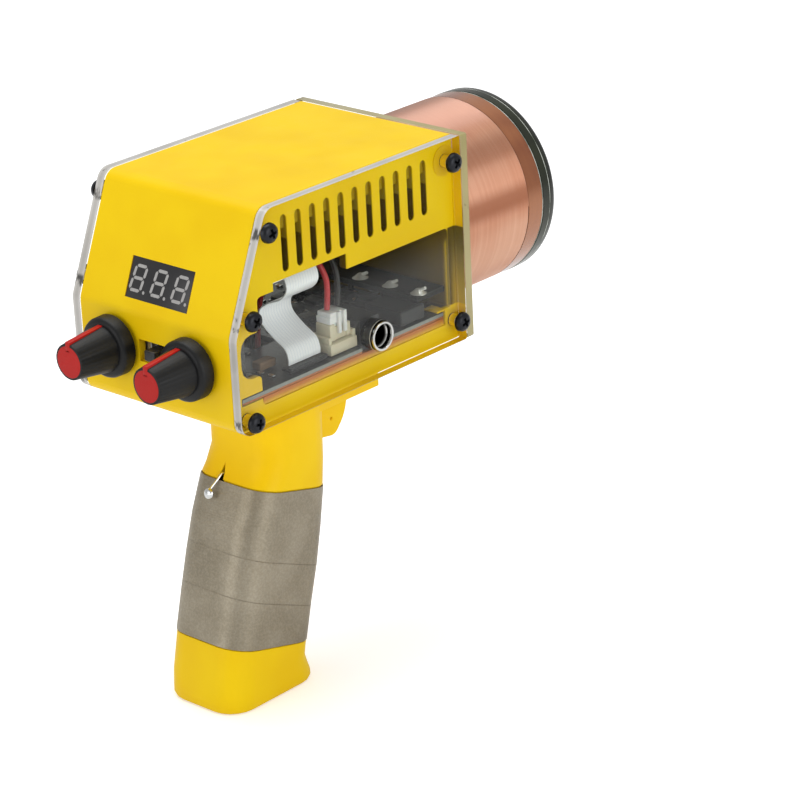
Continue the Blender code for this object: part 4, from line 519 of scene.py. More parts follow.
def clear_sheet(name, flat_axis, pale, deep, dark, screws_show=0.0):
    """Clear faces along one axis, and a frosted, speckled edge on all others."""
    made = Finish(name, "clear_acrylic", Roughness=0.25, Coat_Weight=0.6, Coat_Roughness=0.05)
    across, forward, up = (made.measure(axis) for axis in "XYZ")
    aside = across.absolute()
    # painted reflection: the veil of reflected room is stronger in a band low on the sheet
    veil = HIGH_VEIL + (LOW_VEIL - HIGH_VEIL) * up.within(4, 9, 22, 34)
    bands = made.noise(60, 2).between(0.35, 0.75)
    colour = made.mix(bands * 0.6, pale, deep)
    colour = made.mix(aside.near(SHEET_MIDDLE, 0.35, 0.95) * 0.45, colour, deep)
    marks = sum((up.near(level, 0.8, 1.9) for level in MARK_LEVELS), start=0.0)
    stripes = made.noise((700, 260, 260), 2, 0.6).between(0.42, 0.58)
    # painted reflection: the walls of the screw holes are painted with the housing's yellow
    holes = (1 - aside.between(29.7, 30)) * sum(
        (1 - off_axis(forward, up, screw).between(3.6, 4.6) for screw in SCREWS.values()),
        start=0.0)
    colour = made.mix(holes, colour, (250, 208, 40))
    specks = made.noise(380, 2, 0.6).between(0.66, 0.72)
    specks = (specks * 0.7 + marks * stripes * screws_show) * (1 - holes)
    normal = made.node("ShaderNodeNewGeometry").outputs["True Normal"]
    parts = made.node("ShaderNodeSeparateXYZ", None, {0: normal})
    on_edge = 1.0 - Level(made, parts.outputs[flat_axis]).absolute().between(0.90, 0.97)
    if flat_axis == "X":
        colour, mirrors = painted_reflection(made, colour, aside, forward, up)
        specks = specks * (1 - mirrors)
        in_jack = 1 - off_axis(forward, up, JACK_AXIS).between(24, 27)
        on_edge = on_edge * (1 - in_jack * (1 - aside.between(30, 30.3)))
    made.paint(specks * 0.75, colour, dark)
    see = made.node("ShaderNodeBsdfTransparent", None, {"Color": tint(250, 251, 249)})
    gloss = made.node("ShaderNodeBsdfGlossy", None, {"Roughness": 0.03})
    pane = made.node("ShaderNodeMixShader", None, {0: veil, 1: see.outputs[0], 2: gloss.outputs[0]})
    both = made.node(
        "ShaderNodeMixShader", None, {0: on_edge, 1: pane.outputs[0], 2: made.shader.outputs[0]})
    made.feed(made.output.inputs["Surface"], both.outputs[0])
    return made


pane_side = clear_sheet(
    "clear_side_sheet", "X", (206, 203, 198), (160, 156, 148), (34, 31, 26), 1.2)
pane_front = clear_sheet("clear_front_sheet", "Y", (172, 160, 106), (150, 138, 84), (120, 108, 62))
dress("side_panel_right", pane_side, 0.18)
dress("side_panel_left", pane_side, 0.18)
dress("front_plate", pane_front, 0.18)

# %% [markdown]
# ## Small forms at the housing's sides
# Under the board's edge runs a sill, painted orange-brown near its top as painted
# shadow of the board. A low pad stands on the board's front corner, a round one lies
# under the sheet at the upper front screw, and a thin seal closes the gap at the front.

# %% Sill, pads and seals
SILL_TOP = 7.15
CORNER_TOP = 9.65
ROUND_PAD = ((1.9, 0.02), (4.2, 0.02), (4.3, 0.06), (4.3, 0.2), (1.9, 0.2), (1.9, 0.02))

sill_yellow = Finish("sill_yellow", "yellow_plastic", Roughness=0.4)
# painted shadow: orange-brown near the sill's top, where the board's shadow falls
painted_board_shadow = (sill_yellow.measure("Z") + sill_yellow.noise(90) * 0.8).between(5.4, 7.3)
sill_yellow.paint(painted_board_shadow, (226, 178, 16), (194, 108, 20))
pad_yellow = drifting(
    "pad_yellow", "yellow_plastic", 90, (222, 178, 22), (240, 198, 30), Roughness=0.42,
    **PLAIN_YELLOW)


def make_side_forms():
    """A strip, two pads and a front seal on both sides."""
    strips, pads, seals = bmesh.new(), bmesh.new(), bmesh.new()
    for side, axis in ((1, "+X"), (-1, "-X")):
        block((side * 25.4, 11.6, 5.15), (side * 27.3, 82.2, SILL_TOP), 0.1, strips)
        join(pads, turned(ROUND_PAD, at(side * 27.54, *SCREWS["front_top"]), axis, 48))
        block((side * 22.4, 79.8, 9.05), (side * 27.3, 84.9, CORNER_TOP), 0.1, pads)
        block((side * 27.53, 87.6, 0.2), (side * 27.77, 88, 54), 0, seals)
    piece("sill_strips", strips, sill_yellow)
    piece("screw_pads", pads, pad_yellow)
    piece("front_seals", seals, yellow)


make_side_forms()

# %% [markdown]
# ## Copper winding
# Fine enamelled wire lies turn by turn on the tube. A spin that also climbs makes a
# true helix from a profile of small ridges, so the wire runs round without a seam.
# Copper gets its look from a bright pink-orange and a soft gloss, with painted
# reflection in streaks and dark bands along the tube, and painted shade on its top.

# %% Winding
copper = Finish("copper_wire", "copper_wire", Metallic=0.9, Coat_Weight=0.35, Coat_Roughness=0.15)
streaks = copper.noise((14, 900, 14), 2, 0.6)
# painted reflection: streaks of light and dark that run along the tube
painted_reflection_streaks = copper.noise((64, 9, 64), 1, 0.4)
tallness = copper.measure("Z") + 2.0 * copper.noise(14, 1)
# painted shade and reflection: two dark bands along the tube
shaded = tallness.near(33.8, 0.8, 5) * 0.9 + tallness.near(47, 1, 4) * 0.35
wire_tone_and_painted_sheen = copper.mix(
    streaks.between(0.3, 0.75) * 0.3 + painted_reflection_streaks.between(0.32, 0.66) * 0.7, (196, 132, 100),
    (226, 178, 150))
# painted shade: the top of the winding is darkened to a pinker tone
wire_tone_and_painted_sheen = copper.mix(tallness.between(51, 54.5) * 0.75, wire_tone_and_painted_sheen, (176, 132, 116))
copper.paint(shaded, wire_tone_and_painted_sheen, (158, 98, 68), Roughness=0.36 + 0.1 * streaks)

COIL = at(0, 91.3, 28.7)
WINDING_START, WINDING_END = 1.7, 28.8
WINDING_INSIDE, WIRE_FOOT = 25.7, 26.86
WIRE_PITCH, WIRE_CROWN = 0.26, 0.055


def make_winding():
    """Ridges of wire climb one pitch a turn round the tube."""
    count = round((WINDING_END - WINDING_START) / WIRE_PITCH)
    profile = [(WINDING_INSIDE, WINDING_START)]
    for turn in range(count):
        foot = WINDING_START + turn * WIRE_PITCH
        profile += [(WIRE_FOOT, foot), (WIRE_FOOT + WIRE_CROWN, foot + 0.3 * WIRE_PITCH),
                    (WIRE_FOOT + WIRE_CROWN, foot + 0.7 * WIRE_PITCH)]
    profile += [(WIRE_FOOT, WINDING_END), (WINDING_INSIDE, WINDING_END)]
    piece("fine_winding", turned(profile, COIL, "+Y", 160, WIRE_PITCH), copper, "secondary_winding")
    print("winding:", count, "turns")


make_winding()

# %% [markdown]
# ## Tube, band and end disc
# The tube shows at both ends of the winding. An amber film holds the last turns, and
# a dark smoked disc closes the tube, its lower part painted paler as a painted
# reflection. All are spun with enough steps for a clean outline. Two thin rings along
# edges are painted pale as painted highlights.

# %% Tube, band and disc
amber = Finish(
    "amber_film", "amber_tape", Roughness=0.22, Metallic=0.35, Coat_Weight=0.7, Coat_Roughness=0.08)
folds = amber.noise((60, 500, 60))
patches = amber.noise((60, 20, 60), 2, 0.4).between(0.36, 0.62)
amber.paint(folds * 0.4 + patches * 0.6, (126, 62, 26), (174, 108, 62))

smoked = Finish(
    "smoked_sheet", "smoked_acrylic", Roughness=0.2, Specular_IOR_Level=0.35, Coat_Weight=0.2,
    Coat_Roughness=0.06)
# painted reflection: the lower part of the disc is painted paler grey
painted_low_reflection = 1 - smoked.measure("Z").between(2, 24)
far_rim = smoked.measure("Y").between(129.9, 130.2)
dark_green = smoked.mix(smoked.noise(70, 2).between(0.35, 0.7), (18, 24, 10), (34, 39, 20))
dark_green = smoked.mix(far_rim * 0.6, dark_green, (18, 20, 20))
smoked.paint(painted_low_reflection * 0.4, dark_green, (104, 114, 96))

tube_clear = clear_sheet("clear_tube", "Z", (206, 176, 148), (176, 150, 124), (120, 100, 80))
# painted highlight: two thin rings painted pale along the edges of the tube and the disc
painted_highlight_line = Finish("painted_highlight_line", "clear_acrylic", Roughness=0.3)
painted_highlight_line.paint(painted_highlight_line.noise(140).between(0.35, 0.6), (96, 104, 92), (214, 218, 210))
DISC = (
    (1.8, 40.7), (26.1, 40.7), (26.7, 40.3), (26.95, 39.7), (26.95, 38.35), (26.8, 38.2),
    (27, 38.05), (27, 35.6), (26.8, 35.4), (22.3, 35.4), (22.3, 30.4), (1.8, 30.4), (1.8, 40.7))


def coil_ring(name, inner, outer, start, end, finish, steps, *stands_for):
    """A ring on the coil's axis."""
    profile = [(inner, start), (outer, start), (outer, end), (inner, end), (inner, start)]
    piece(name, turned(profile, COIL, "+Y", steps), finish, *stands_for)


coil_ring("tube_piece", 22.6, 25.6, 0, 35.1, tube_clear, 128, "coil_tube")
coil_ring("band_piece", 25.9, 26.9, 29.1, 34.9, amber, 128, "end_tape")
coil_ring("disc_line", 26.4, 26.98, 38.12, 38.28, painted_highlight_line, 160)
coil_ring("tube_line", 25.9, 26.95, 34.95, 35.12, painted_highlight_line, 160)
piece("disc_piece", turned(DISC, COIL, "+Y", 160), smoked, "end_disc")

# %% [markdown]
# ## Dials
# Each dial is a black knob with a wide skirt, fine ribs down a tapered body, and a red
# cap with a stripe along the top as the pointer. The ribs come from insetting every
# second side face of a cone.

# %% Dials
knob_black = drifting(
    "knob_black", "black_plastic", 150, (9, 10, 11), (19, 20, 21), Specular_IOR_Level=0.3)
knob_black.set(Roughness=0.38 + 0.12 * knob_black.noise(300))
knob_black.bump(knob_black.noise(2200, 2), 0.02)
red = drifting(
    "red_plastic", "red_plastic", 140, (168, 20, 16), (186, 28, 22), Roughness=0.42,
    Specular_IOR_Level=0.2)
red.bump(red.noise(2200, 2), 0.03)

DIAL_X, DIAL_Z = 14.5, 16.5
KNOB_GAP, KNOB_LENGTH = 1, 16.2
KNOB_RIBS = 30
SKIRT = (
    (0, 4.3), (6.7, 4.3), (7.5, 4.15), (8.05, 3.7), (8.3, 3.1), (8.4, 0.25), (8.2, 0), (5.8, 0),
    (5.8, 3), (0, 3))
CAP = ((0, 0), (3.2, 0), (4.3, -0.05), (4.5, -0.25), (4.5, -1), (0, -1))
POINTER_LENGTH = 11.9


def make_knob(side, name):
    """Skirt and ribbed body of one dial."""
    place = at(side * DIAL_X, -KNOB_GAP, DIAL_Z)
    shape = turned(SKIRT, place, "-Y", 72)
    ribbed = bmesh.new()
    bmesh.ops.create_cone(
        ribbed, cap_ends=True, segments=KNOB_RIBS * 2, radius1=6.55 * MM, radius2=4.95 * MM,
        depth=12.5 * MM)
    bmesh.ops.translate(ribbed, vec=(0, 0, 9.85 * MM), verts=ribbed.verts)
    sides = [face for face in ribbed.faces if abs(face.normal.z) < 0.5]
    middles = {face: face.calc_center_median() for face in sides}
    sides.sort(key=lambda face: math.atan2(middles[face].y, middles[face].x))
    bmesh.ops.inset_individual(ribbed, faces=sides[::2], thickness=0.16 * MM, depth=-0.009 * MM)
    top = [edge for edge in ribbed.edges if all(v.co.z > 16.0 * MM for v in edge.verts)
           and len(edge.link_faces) == 2 and any(abs(f.normal.z) > 0.9 for f in edge.link_faces)]
    bmesh.ops.bevel(
        ribbed, geom=top, offset=0.25 * MM, segments=2, profile=0.5, affect="EDGES", material=-1)
    join(shape, ribbed, Matrix.Translation(place) @ TURN["-Y"])
    piece(name + "_body", shape, knob_black, name, body=name)


def make_cap(side, name):
    """The red disc on the end and the pointer along the top."""
    x, tip = side * DIAL_X, -KNOB_GAP - KNOB_LENGTH
    shape = turned(CAP, at(x, tip, DIAL_Z), "-Y", 64)
    bar = block((x - 0.8, tip, 19.6), (x + 0.8, tip + POINTER_LENGTH, 22.4), 0.12)
    for vert in bar.verts:
        share = (vert.co.y - at(0, tip, 0).y) / MM / POINTER_LENGTH
        vert.co.z += (share * 1.15 - 0.35) * MM
    join(shape, bar)
    piece(name + "_cap_piece", shape, red, name + "_cap", body=name)


for side, name in ((-1, "power_knob"), (1, "frequency_knob")):
    make_knob(side, name)
    make_cap(side, name)

# %% [markdown]
# ## Display
# The display is a black module with three unlit figures, each of seven grey segments
# and a point. The segments are thin plates that lean over by nine degrees.

# %% Display
module_black = drifting(
    "module_black", "black_plastic", 260, (26, 25, 27), (36, 35, 37), Roughness=0.32)
segment_grey = drifting(
    "segment_grey", "black_plastic", 900, (150, 148, 146), (176, 174, 172), Roughness=0.35)
rim_red = drifting("rim_red", "black_plastic", 300, (60, 16, 14), (84, 24, 18), Roughness=0.5)
FIGURE_WIDTH, FIGURE_HEIGHT = 3.9, 6.6
FIGURE_PITCH, FIGURE_LEAN = 7.7, 0.16
FIGURE_MIDDLE = 9.0
BAR = 0.86
FACE_OUT = -0.12


def on_slant(x, up, out):
    """Place on the slanted face, from the bend."""
    return at(x, math.sin(SLANT) * up - math.cos(SLANT) * out,
              BEND_Z + math.cos(SLANT) * up + math.sin(SLANT) * out)


def pulled(shape, made, vec):
    """Move what an extrusion has made."""
    bmesh.ops.translate(shape, vec=vec, verts=[v for v in made["geom"]
                                               if isinstance(v, bmesh.types.BMVert)])


def make_segment(shape, start, end):
    """One bar with pointed ends between two points of a figure."""
    start, end = Vector(start), Vector(end)
    run = (end - start).normalized()
    side = Vector((-run.y, run.x)) * BAR / 2
    start, end = start + run * 0.2, end - run * 0.2
    tip = run * BAR / 2
    verts = []
    for point in (start, start + tip + side, end - tip + side, end, end - tip - side,
                  start + tip - side):
        leaned = point.x + FIGURE_LEAN * point.y
        place = on_slant(leaned, FIGURE_MIDDLE + point.y, FACE_OUT - 0.03)
        verts.append(shape.verts.new(place))
    raised = bmesh.ops.extrude_face_region(shape, geom=[shape.faces.new(verts)])
    pulled(shape, raised, on_slant(0, 0, 0.06) - on_slant(0, 0, 0))


def make_figures():
    """Three figures, each with its point."""
    shape = bmesh.new()
    wide, high = FIGURE_WIDTH / 2, FIGURE_HEIGHT / 2
    turn = Matrix.Rotation(math.pi / 2 - SLANT, 4, "X")
    for index in (-1, 0, 1):
        x = index * FIGURE_PITCH - 0.3
        for level in (-high, 0, high):
            make_segment(shape, (x - wide, level), (x + wide, level))
        for side in (-wide, wide):
            make_segment(shape, (x + side, -high), (x + side, 0))
            make_segment(shape, (x + side, 0), (x + side, high))
        dot = bmesh.ops.create_circle(shape, cap_ends=True, segments=16, radius=0.45 * MM)
        place = on_slant(x + wide + 0.85, FIGURE_MIDDLE - high - 0.1, FACE_OUT + 0.03)
        bmesh.ops.transform(shape, verts=dot["verts"], matrix=Matrix.Translation(place) @ turn)
    piece("display_figures", shape, segment_grey)


def slanted_plate(width, low, high, out, edge):
    """A plate sunk in the slanted face."""
    shape = block((-width / 2, 0, low), (width / 2, 0.7, high), edge)
    turn = Matrix.Rotation(-SLANT, 4, "X")
    place = Matrix.Translation(on_slant(0, 0, out)) @ turn @ Matrix.Translation(-at(0, 0, 0))
    bmesh.ops.transform(shape, matrix=place, verts=shape.verts)
    return shape


dress("voltage_display", module_black, 0.1)
piece("display_rim", slanted_plate(23, 2.95, 15.05, FACE_OUT - 0.06, 0.05), rim_red)
piece("display_face", slanted_plate(22.5, 3.15, 14.8, FACE_OUT, 0.08), module_black)
make_figures()

# %% [markdown]
# ## Screws
# Ten black pan head screws with a cross recess hold the clear sides. One head is
# spun, a cross is carved from it, and the result is copied to its five places a side.

# %% Panel screws
screw_black = drifting(
    "screw_black", "black_steel", 400, (20, 21, 25), (40, 42, 48), Roughness=0.3, Metallic=0.6)
HEAD, RISE = 2.75, 1.9
SHANK, SHANK_LENGTH = 1.5, 8.9
RECESS = 0.4


def carve(shape, tools):
    """Cut other bmeshes out of one with Booleans."""
    parts = []
    for index, source in enumerate([shape] + tools):
        bmesh.ops.recalc_face_normals(source, faces=source.faces)
        label = f"carving_{index}"
        parts.append(add_object(label, mesh_of(source, label)))
    for tool in parts[1:]:
        cutting = parts[0].modifiers.new("cut", "BOOLEAN")
        cutting.operation = "DIFFERENCE"
        cutting.solver = "EXACT"
        cutting.object = tool
    bpy.context.view_layer.update()
    ready = parts[0].evaluated_get(bpy.context.evaluated_depsgraph_get())
    result = bmesh.new()
    result.from_mesh(ready.data)
    for part in parts:
        bpy.data.objects.remove(part)
    return result


def cross_screw():
    """A pan head screw with a cross recess, head up."""
    profile = [(0, RISE), (HEAD * 0.35, RISE * 0.99), (HEAD * 0.66, RISE * 0.9),
               (HEAD * 0.88, RISE * 0.68), (HEAD * 0.98, RISE * 0.35), (HEAD, 0), (SHANK, 0),
               (SHANK, -SHANK_LENGTH), (0, -SHANK_LENGTH)]
    tools = []
    for half_x, half_y in ((1.75, 0.5), (0.5, 1.75)):
        tool = bmesh.new()
        made = bmesh.ops.create_cone(tool, cap_ends=True, segments=4,
                                     radius1=math.sqrt(2) * 0.4, radius2=math.sqrt(2),
                                     depth=1.6)["verts"]
        bmesh.ops.rotate(
            tool, verts=made, cent=(0, 0, 0), matrix=Matrix.Rotation(math.pi / 4, 3, "Z"))
        bmesh.ops.scale(tool, vec=(half_x * MM, half_y * MM, MM), verts=made)
        bmesh.ops.translate(tool, vec=(0, 0, (RISE - RECESS) * MM), verts=made)
        tools.append(tool)
    return carve(turned(profile, Vector((0, 0, 0)), "+Z", 40), tools)


def make_panel_screws():
    """Five screws a side, as one piece each."""
    screw = cross_screw()
    for side, label, axis in ((1, "right", "+X"), (-1, "left", "-X")):
        shape = bmesh.new()
        for index, (y, z) in enumerate(SCREWS.values()):
            twist = Matrix.Rotation(math.radians(17 + 31 * index), 4, "Z")
            place = Matrix.Translation(at(side * SHEET_OUT, y, z))
            join(shape, screw.copy(), place @ TURN[axis] @ twist)
        nodes = [f"panel_screw_{label}_{name}" for name in SCREWS]
        piece(f"panel_screws_{label}", shape, screw_black, *nodes, normals=False)
    screw.free()


make_panel_screws()

# %% [markdown]
# ## Circuit boards
# The boards are glossy black solder mask with faint copper traces under it. The traces
# are a bump of a few hundredths, so they only show where light rakes over them.

# %% Boards
WHITE, BLACK = (1, 1, 1, 1), (0, 0, 0, 1)
board_black = Finish(
    "board_black", "circuit_board", Roughness=0.3, Coat_Weight=0.5, Coat_Roughness=0.15)
lanes = board_black.node("ShaderNodeTexBrick", {"offset": 0.35, "squash": 1.6},
                         {"Vector": board_black.coordinates, "Scale": 130,
                          "Mortar Size": 0.03, "Color1": WHITE, "Color2": WHITE,
                          "Mortar": BLACK})
lane = 1.0 - Level(board_black, lanes.outputs["Color"])
board_black.paint(lane * 0.8, (26, 28, 31), (44, 47, 50))
board_black.bump(lane + 0.2 * board_black.noise(300), 0.06)
# painted shade: the driver board gets a darker, browner black than the main board, as if lying in
# shade
shaded_driver_black = drifting(
    "shaded_driver_black", "circuit_board", 200, (18, 18, 17), (32, 31, 28), Roughness=0.6,
    Specular_IOR_Level=0.2)
edge_grey = drifting(
    "board_edge_grey", "circuit_board", 900, (122, 126, 122), (156, 158, 152), 2, Roughness=0.5)
# painted shade and reflection: an orange-brown layer along the lower cut edge of the main board
rim_brown = drifting(
    "board_rim_brown", "circuit_board", 900, (170, 92, 42), (206, 126, 62), 2, Roughness=0.4,
    Metallic=0.3)


def make_board_rim(name, low, high, finish):
    """A layer of the main board's cut edge, on both sides of the jack."""
    shape = bmesh.new()
    for start, end in ((3.9, 49.3), (57.9, 82.1)):
        block((27.15, start, low), (27.38, end, high), 0.05, shape)
    piece(name, shape, finish)


for node, finish in (("main_board", board_black), ("driver_board", shaded_driver_black),
                     ("control_board", board_black)):
    dress(node, finish, 0.1)
make_board_rim("board_rim_shade_and_reflection", 7.36, 7.8, rim_brown)
make_board_rim("board_rim", 7.82, 8.82, edge_grey)

# %% [markdown]
# ## Parts on the boards
# Small parts make a board believable: chips with legs, capacitors and resistors of a
# millimetre or two. They come from one seeded scatter on a raster, clear of the larger
# parts.

# %% Small parts
chip_black = drifting(
    "chip_black", "black_plastic", 600, (30, 31, 33), (42, 43, 45), Roughness=0.45)
tin = drifting(
    "bright_tin", "solder", 500, (196, 198, 198), (232, 233, 232), Metallic=1, Roughness=0.22)
ceramic = drifting("ceramic_tan", "tan_resin", 700, (112, 88, 66), (150, 122, 92), Roughness=0.5)
FACE = 8.95
ROWS, COLUMNS = 18, 12
CHIP_SHARE, PASSIVE_SHARE = 0.12, 0.75
TAKEN = (
    (10, 26.5, 21, 40), (13, 27.5, 38.5, 58.5), (10, 27.5, 64.5, 84), (-6, 6, 30, 42),
    (-23, -13, 23, 37), (-22, -15, 72, 80), (16, 22, 11, 17), (-24, 24, 3, 10.5))


def is_free(x, y, half_x, half_y):
    """Whether a small part here stays clear of the larger ones."""
    return not any(x + half_x > a and x - half_x < b and y + half_y > c and y - half_y < d
                   for a, b, c, d in TAKEN)


def add_chip(x, y, bodies, ends):
    """A chip that stands on four legs a side."""
    block((x - 2.4, y - 1.9, FACE + 0.15), (x + 2.4, y + 1.9, FACE + 1.6), 0.15, bodies)
    for leg in range(4):
        foot = y - 1.9 + leg * 1.27
        for side in (-1, 1):
            block((x + side * 2.4, foot - 0.2, FACE), (x + side * 3.2, foot + 0.2, FACE + 0.5),
                  0.06, ends)


def add_passive(x, y, body, ends):
    """A capacitor or resistor between its two terminals."""
    block((x - 0.65, y - 0.55, FACE), (x + 0.65, y + 0.55, FACE + 0.6), 0.08, body)
    for side in (-1, 1):
        block((x + side * 0.6, y - 0.56, FACE), (x + side * 1.05, y + 0.56, FACE + 0.63),
              0.06, ends)


def make_small_parts():
    """Chips, passives and terminals, in three pieces."""
    dice = random.Random(7)
    bodies, ends, tans = bmesh.new(), bmesh.new(), bmesh.new()
    for row in range(ROWS):
        for column in range(COLUMNS):
            x = -23.5 + column * 4.2 + dice.uniform(-0.6, 0.6)
            y = 12.5 + row * 3.9 + dice.uniform(-0.6, 0.6)
            kind = dice.random()
            if kind < CHIP_SHARE and is_free(x, y, 3.4, 2.6):
                add_chip(x, y, bodies, ends)
            elif kind < PASSIVE_SHARE and is_free(x, y, 1.2, 0.9):
                add_passive(x, y, tans if dice.random() < 0.4 else bodies, ends)
    piece("small_chips", bodies, chip_black)
    piece("small_ceramics", tans, ceramic)
    piece("small_terminals", ends, tin)


make_small_parts()
for node, finish, edge in (
        ("power_inductor", chip_black, 0.4), ("tantalum_capacitor", ceramic, 0.3),
        ("power_transistor", chip_black, 0.3), ("ribbon_connector", chip_black, 0.2)):
    dress(node, finish, edge)

# %% [markdown]
# ## Solder joints
# Three lumps of solder stand on the front board round cut wire ends. Each is a
# flattened dome with a leaning stub of wire in it. The solder is painted near-white as
# a painted highlight.

# %% Solder joints
# painted highlight: a near-white, half-metal solder that looks bright whatever it reflects
solder_painted_bright = drifting(
    "solder_painted_bright", "solder", 500, (226, 226, 222), (252, 252, 250), Metallic=0.5, Roughness=0.2)
JOINTS_X, JOINTS_Y, JOINTS_Z = (2.4, 13.5, 23.8), 76.3, 15.5
DOME = ((0, 1.5), (0.6, 1.35), (1.15, 0.9), (1.7, 0.4), (2.3, 0.05), (2.3, -0.1), (0, -0.1))
STUB_LEAN = 1.15


def make_joints():
    """Three joints with wire stubs, their solder painted near-white as a painted highlight."""
    shape = bmesh.new()
    for x in JOINTS_X:
        base = at(x, JOINTS_Y, JOINTS_Z)
        join(shape, turned(DOME, base, "+Z", 24))
        stub = bmesh.new()
        bmesh.ops.create_cone(
            stub, cap_ends=True, segments=12, radius1=0.45 * MM, radius2=0.45 * MM, depth=3.4 * MM)
        middle = Matrix.Translation(base + Vector((0.9, 0.2, 1.2)) * MM)
        join(shape, stub, middle @ Matrix.Rotation(STUB_LEAN, 4, "Y"))
    piece("bright_joints", shape, solder_painted_bright)


make_joints()

# %% [markdown]
# ## Battery connector
# A cream header stands on the board and a white plug sits in it, with ribs down its
# face. Both are waxy nylon, with a little light under the skin and rounded edges.

# %% Header and plug
WAXY = {"Subsurface_Weight": 0.08, "Subsurface_Scale": 0.001}
cream = drifting(
    "cream_nylon", "cream_plastic", 200, (206, 196, 168), (222, 214, 190), Roughness=0.45, **WAXY)
nylon = drifting(
    "white_nylon", "white_plastic", 200, (226, 226, 226), (240, 240, 240), Roughness=0.4, **WAXY)
HEADER_BLOCKS = (
    ((18.3, 39.1, 9.2), (25.7, 49.3, 12.2), 0.15), ((18.3, 39.1, 12), (25.2, 40.2, 14), 0.12),
    ((18.3, 48.2, 12), (25.2, 49.3, 14), 0.12), ((18.3, 39.9, 12), (19.2, 48.5, 14), 0.12))
FOOT_BLOCKS = (
    ((19.4, 40.3, 12.6), (24.6, 42.2, 17.2), 0.15), ((19.4, 46.6, 12.6), (24.6, 48.1, 16.4), 0.15),
    ((19.4, 41.9, 12.6), (24.3, 46.9, 16.2), 0.1))
PLUG_BLOCKS = (
    ((19.5, 40.5, 17.3), (24.5, 46.9, 19.2), 0.18), ((19.9, 42.5, 16.25), (24, 46.3, 17.5), 0.1),
    ((24.4, 43.1, 14.4), (25.3, 44.2, 20.4), 0.15), ((24.4, 45.2, 14.4), (25.3, 46.3, 20.4), 0.15),
    ((19.6, 40.9, 18.9), (24.4, 46.4, 20.4), 0.2))


def from_blocks(name, blocks, finish, *stands_for):
    """A piece made of blocks, each with its own rounding."""
    shape = bmesh.new()
    for low, high, edge in blocks:
        block(low, high, edge, shape)
    piece(name, shape, finish, *stands_for)


from_blocks("header_piece", HEADER_BLOCKS, cream, "battery_socket")
from_blocks("plug_foot", FOOT_BLOCKS, cream)
from_blocks("plug_piece", PLUG_BLOCKS, nylon, "battery_plug")

# %% [markdown]
# ## Leads
# The two battery leads leave the plug upwards, arch over the board and go down through
# it into the grip. A lead is a round curve along the route of its solid, made a mesh.

# %% Leads
LEAD_RADIUS = 0.8
RED_ROUTE = (
    (22, 42.2, 20.8), (22, 42.7, 26), (21.8, 42.4, 30), (19.5, 41.8, 33.8), (14, 41, 35.8),
    (8, 39.8, 33), (3.5, 38, 26), (1.8, 36.6, 17), (1.7, 35.8, 8), (1.6, 35.2, 0), (1.6, 34.8, -10),
    (1.6, 34.4, -20), (1.6, 34.4, -31.8))
BLACK_ROUTE = (
    (22, 46.2, 20.8), (22, 46.7, 26), (21.6, 46.6, 31), (19, 46.2, 35.6), (12.5, 45.2, 38.4),
    (5, 43.2, 36), (0.2, 40.6, 28), (-1.6, 38, 18), (-1.8, 36.2, 8), (-1.7, 35.4, 0),
    (-1.6, 34.9, -10), (-1.6, 34.5, -20), (-1.6, 34.5, -31.8))


def smooth_route(points, steps):
    """Points on a smooth curve through a route's own points."""
    route = [Vector(point) for point in points]
    route = [2 * route[0] - route[1]] + route + [2 * route[-1] - route[-2]]
    path = []
    for a, b, c, d in zip(route, route[1:], route[2:], route[3:]):
        for step in range(steps):
            t = step / steps
            path.append(0.5 * (2 * b + (c - a) * t + (2 * a - 5 * b + 4 * c - d) * t * t
                               + (3 * b - a - 3 * c + d) * t ** 3))
    return path + [route[-2]]


def make_lead(colour, points, dark, light):
    """A round insulated lead along a route, made a mesh."""
    finish = drifting(
        colour + "_lead", colour + "_lead", 120, dark, light, Roughness=0.45, Coat_Weight=0.2,
        Coat_Roughness=0.3)
    curve = bpy.data.curves.new(colour + "_line", "CURVE")
    curve.dimensions = "3D"
    curve.bevel_depth = LEAD_RADIUS * MM
    curve.bevel_resolution = 4
    curve.use_fill_caps = True
    line = curve.splines.new("POLY")
    path = smooth_route(points, 6)
    line.points.add(len(path) - 1)
    for point, place in zip(line.points, path):
        point.co = (*at(*place), 1)
    drawn = add_object(colour + "_line", curve)
    ready = drawn.evaluated_get(bpy.context.evaluated_depsgraph_get())
    shape = bmesh.new()
    shape.from_mesh(bpy.data.meshes.new_from_object(ready))
    bpy.data.objects.remove(drawn)
    bmesh.ops.remove_doubles(shape, verts=shape.verts, dist=WELD)
    piece(colour + "_lead_piece", shape, finish, "battery_lead_" + colour)


make_lead("red", RED_ROUTE, (176, 36, 44), (200, 56, 60))
make_lead("black", BLACK_ROUTE, (28, 28, 30), (42, 42, 44))

# %% [markdown]
# ## Ribbon cable
# The white ribbon runs up from the board in an S and folds away to the display. It is
# a row of edges pulled sideways, then thickened. Faint lines are its conductors.

# %% Ribbon
ribbon_white = Finish(
    "ribbon_white", "white_plastic", Roughness=0.32, Coat_Weight=0.3, Coat_Roughness=0.2)
strands = ribbon_white.wave("Y", (1, 320, 1))
ribbon_white.paint(strands.between(0.55, 0.95) * 0.5, (246, 248, 252), (222, 228, 240))
ribbon_white.bump(strands, 0.02)
RIBBON_ROUTE = (
    (23.8, 10.7), (23.8, 12.5), (22.6, 15.2), (18.4, 17.7), (14.6, 20.8), (14.2, 24), (17.2, 26.5),
    (22.2, 28.7), (24.6, 31.8), (23.8, 35.2), (21, 37.6), (17.5, 38.5), (14, 38.5))
RIBBON_REAR, RIBBON_FRONT = 25, 37.0
RIBBON_TOP = 38.5
RIBBON_THICKNESS = 0.32


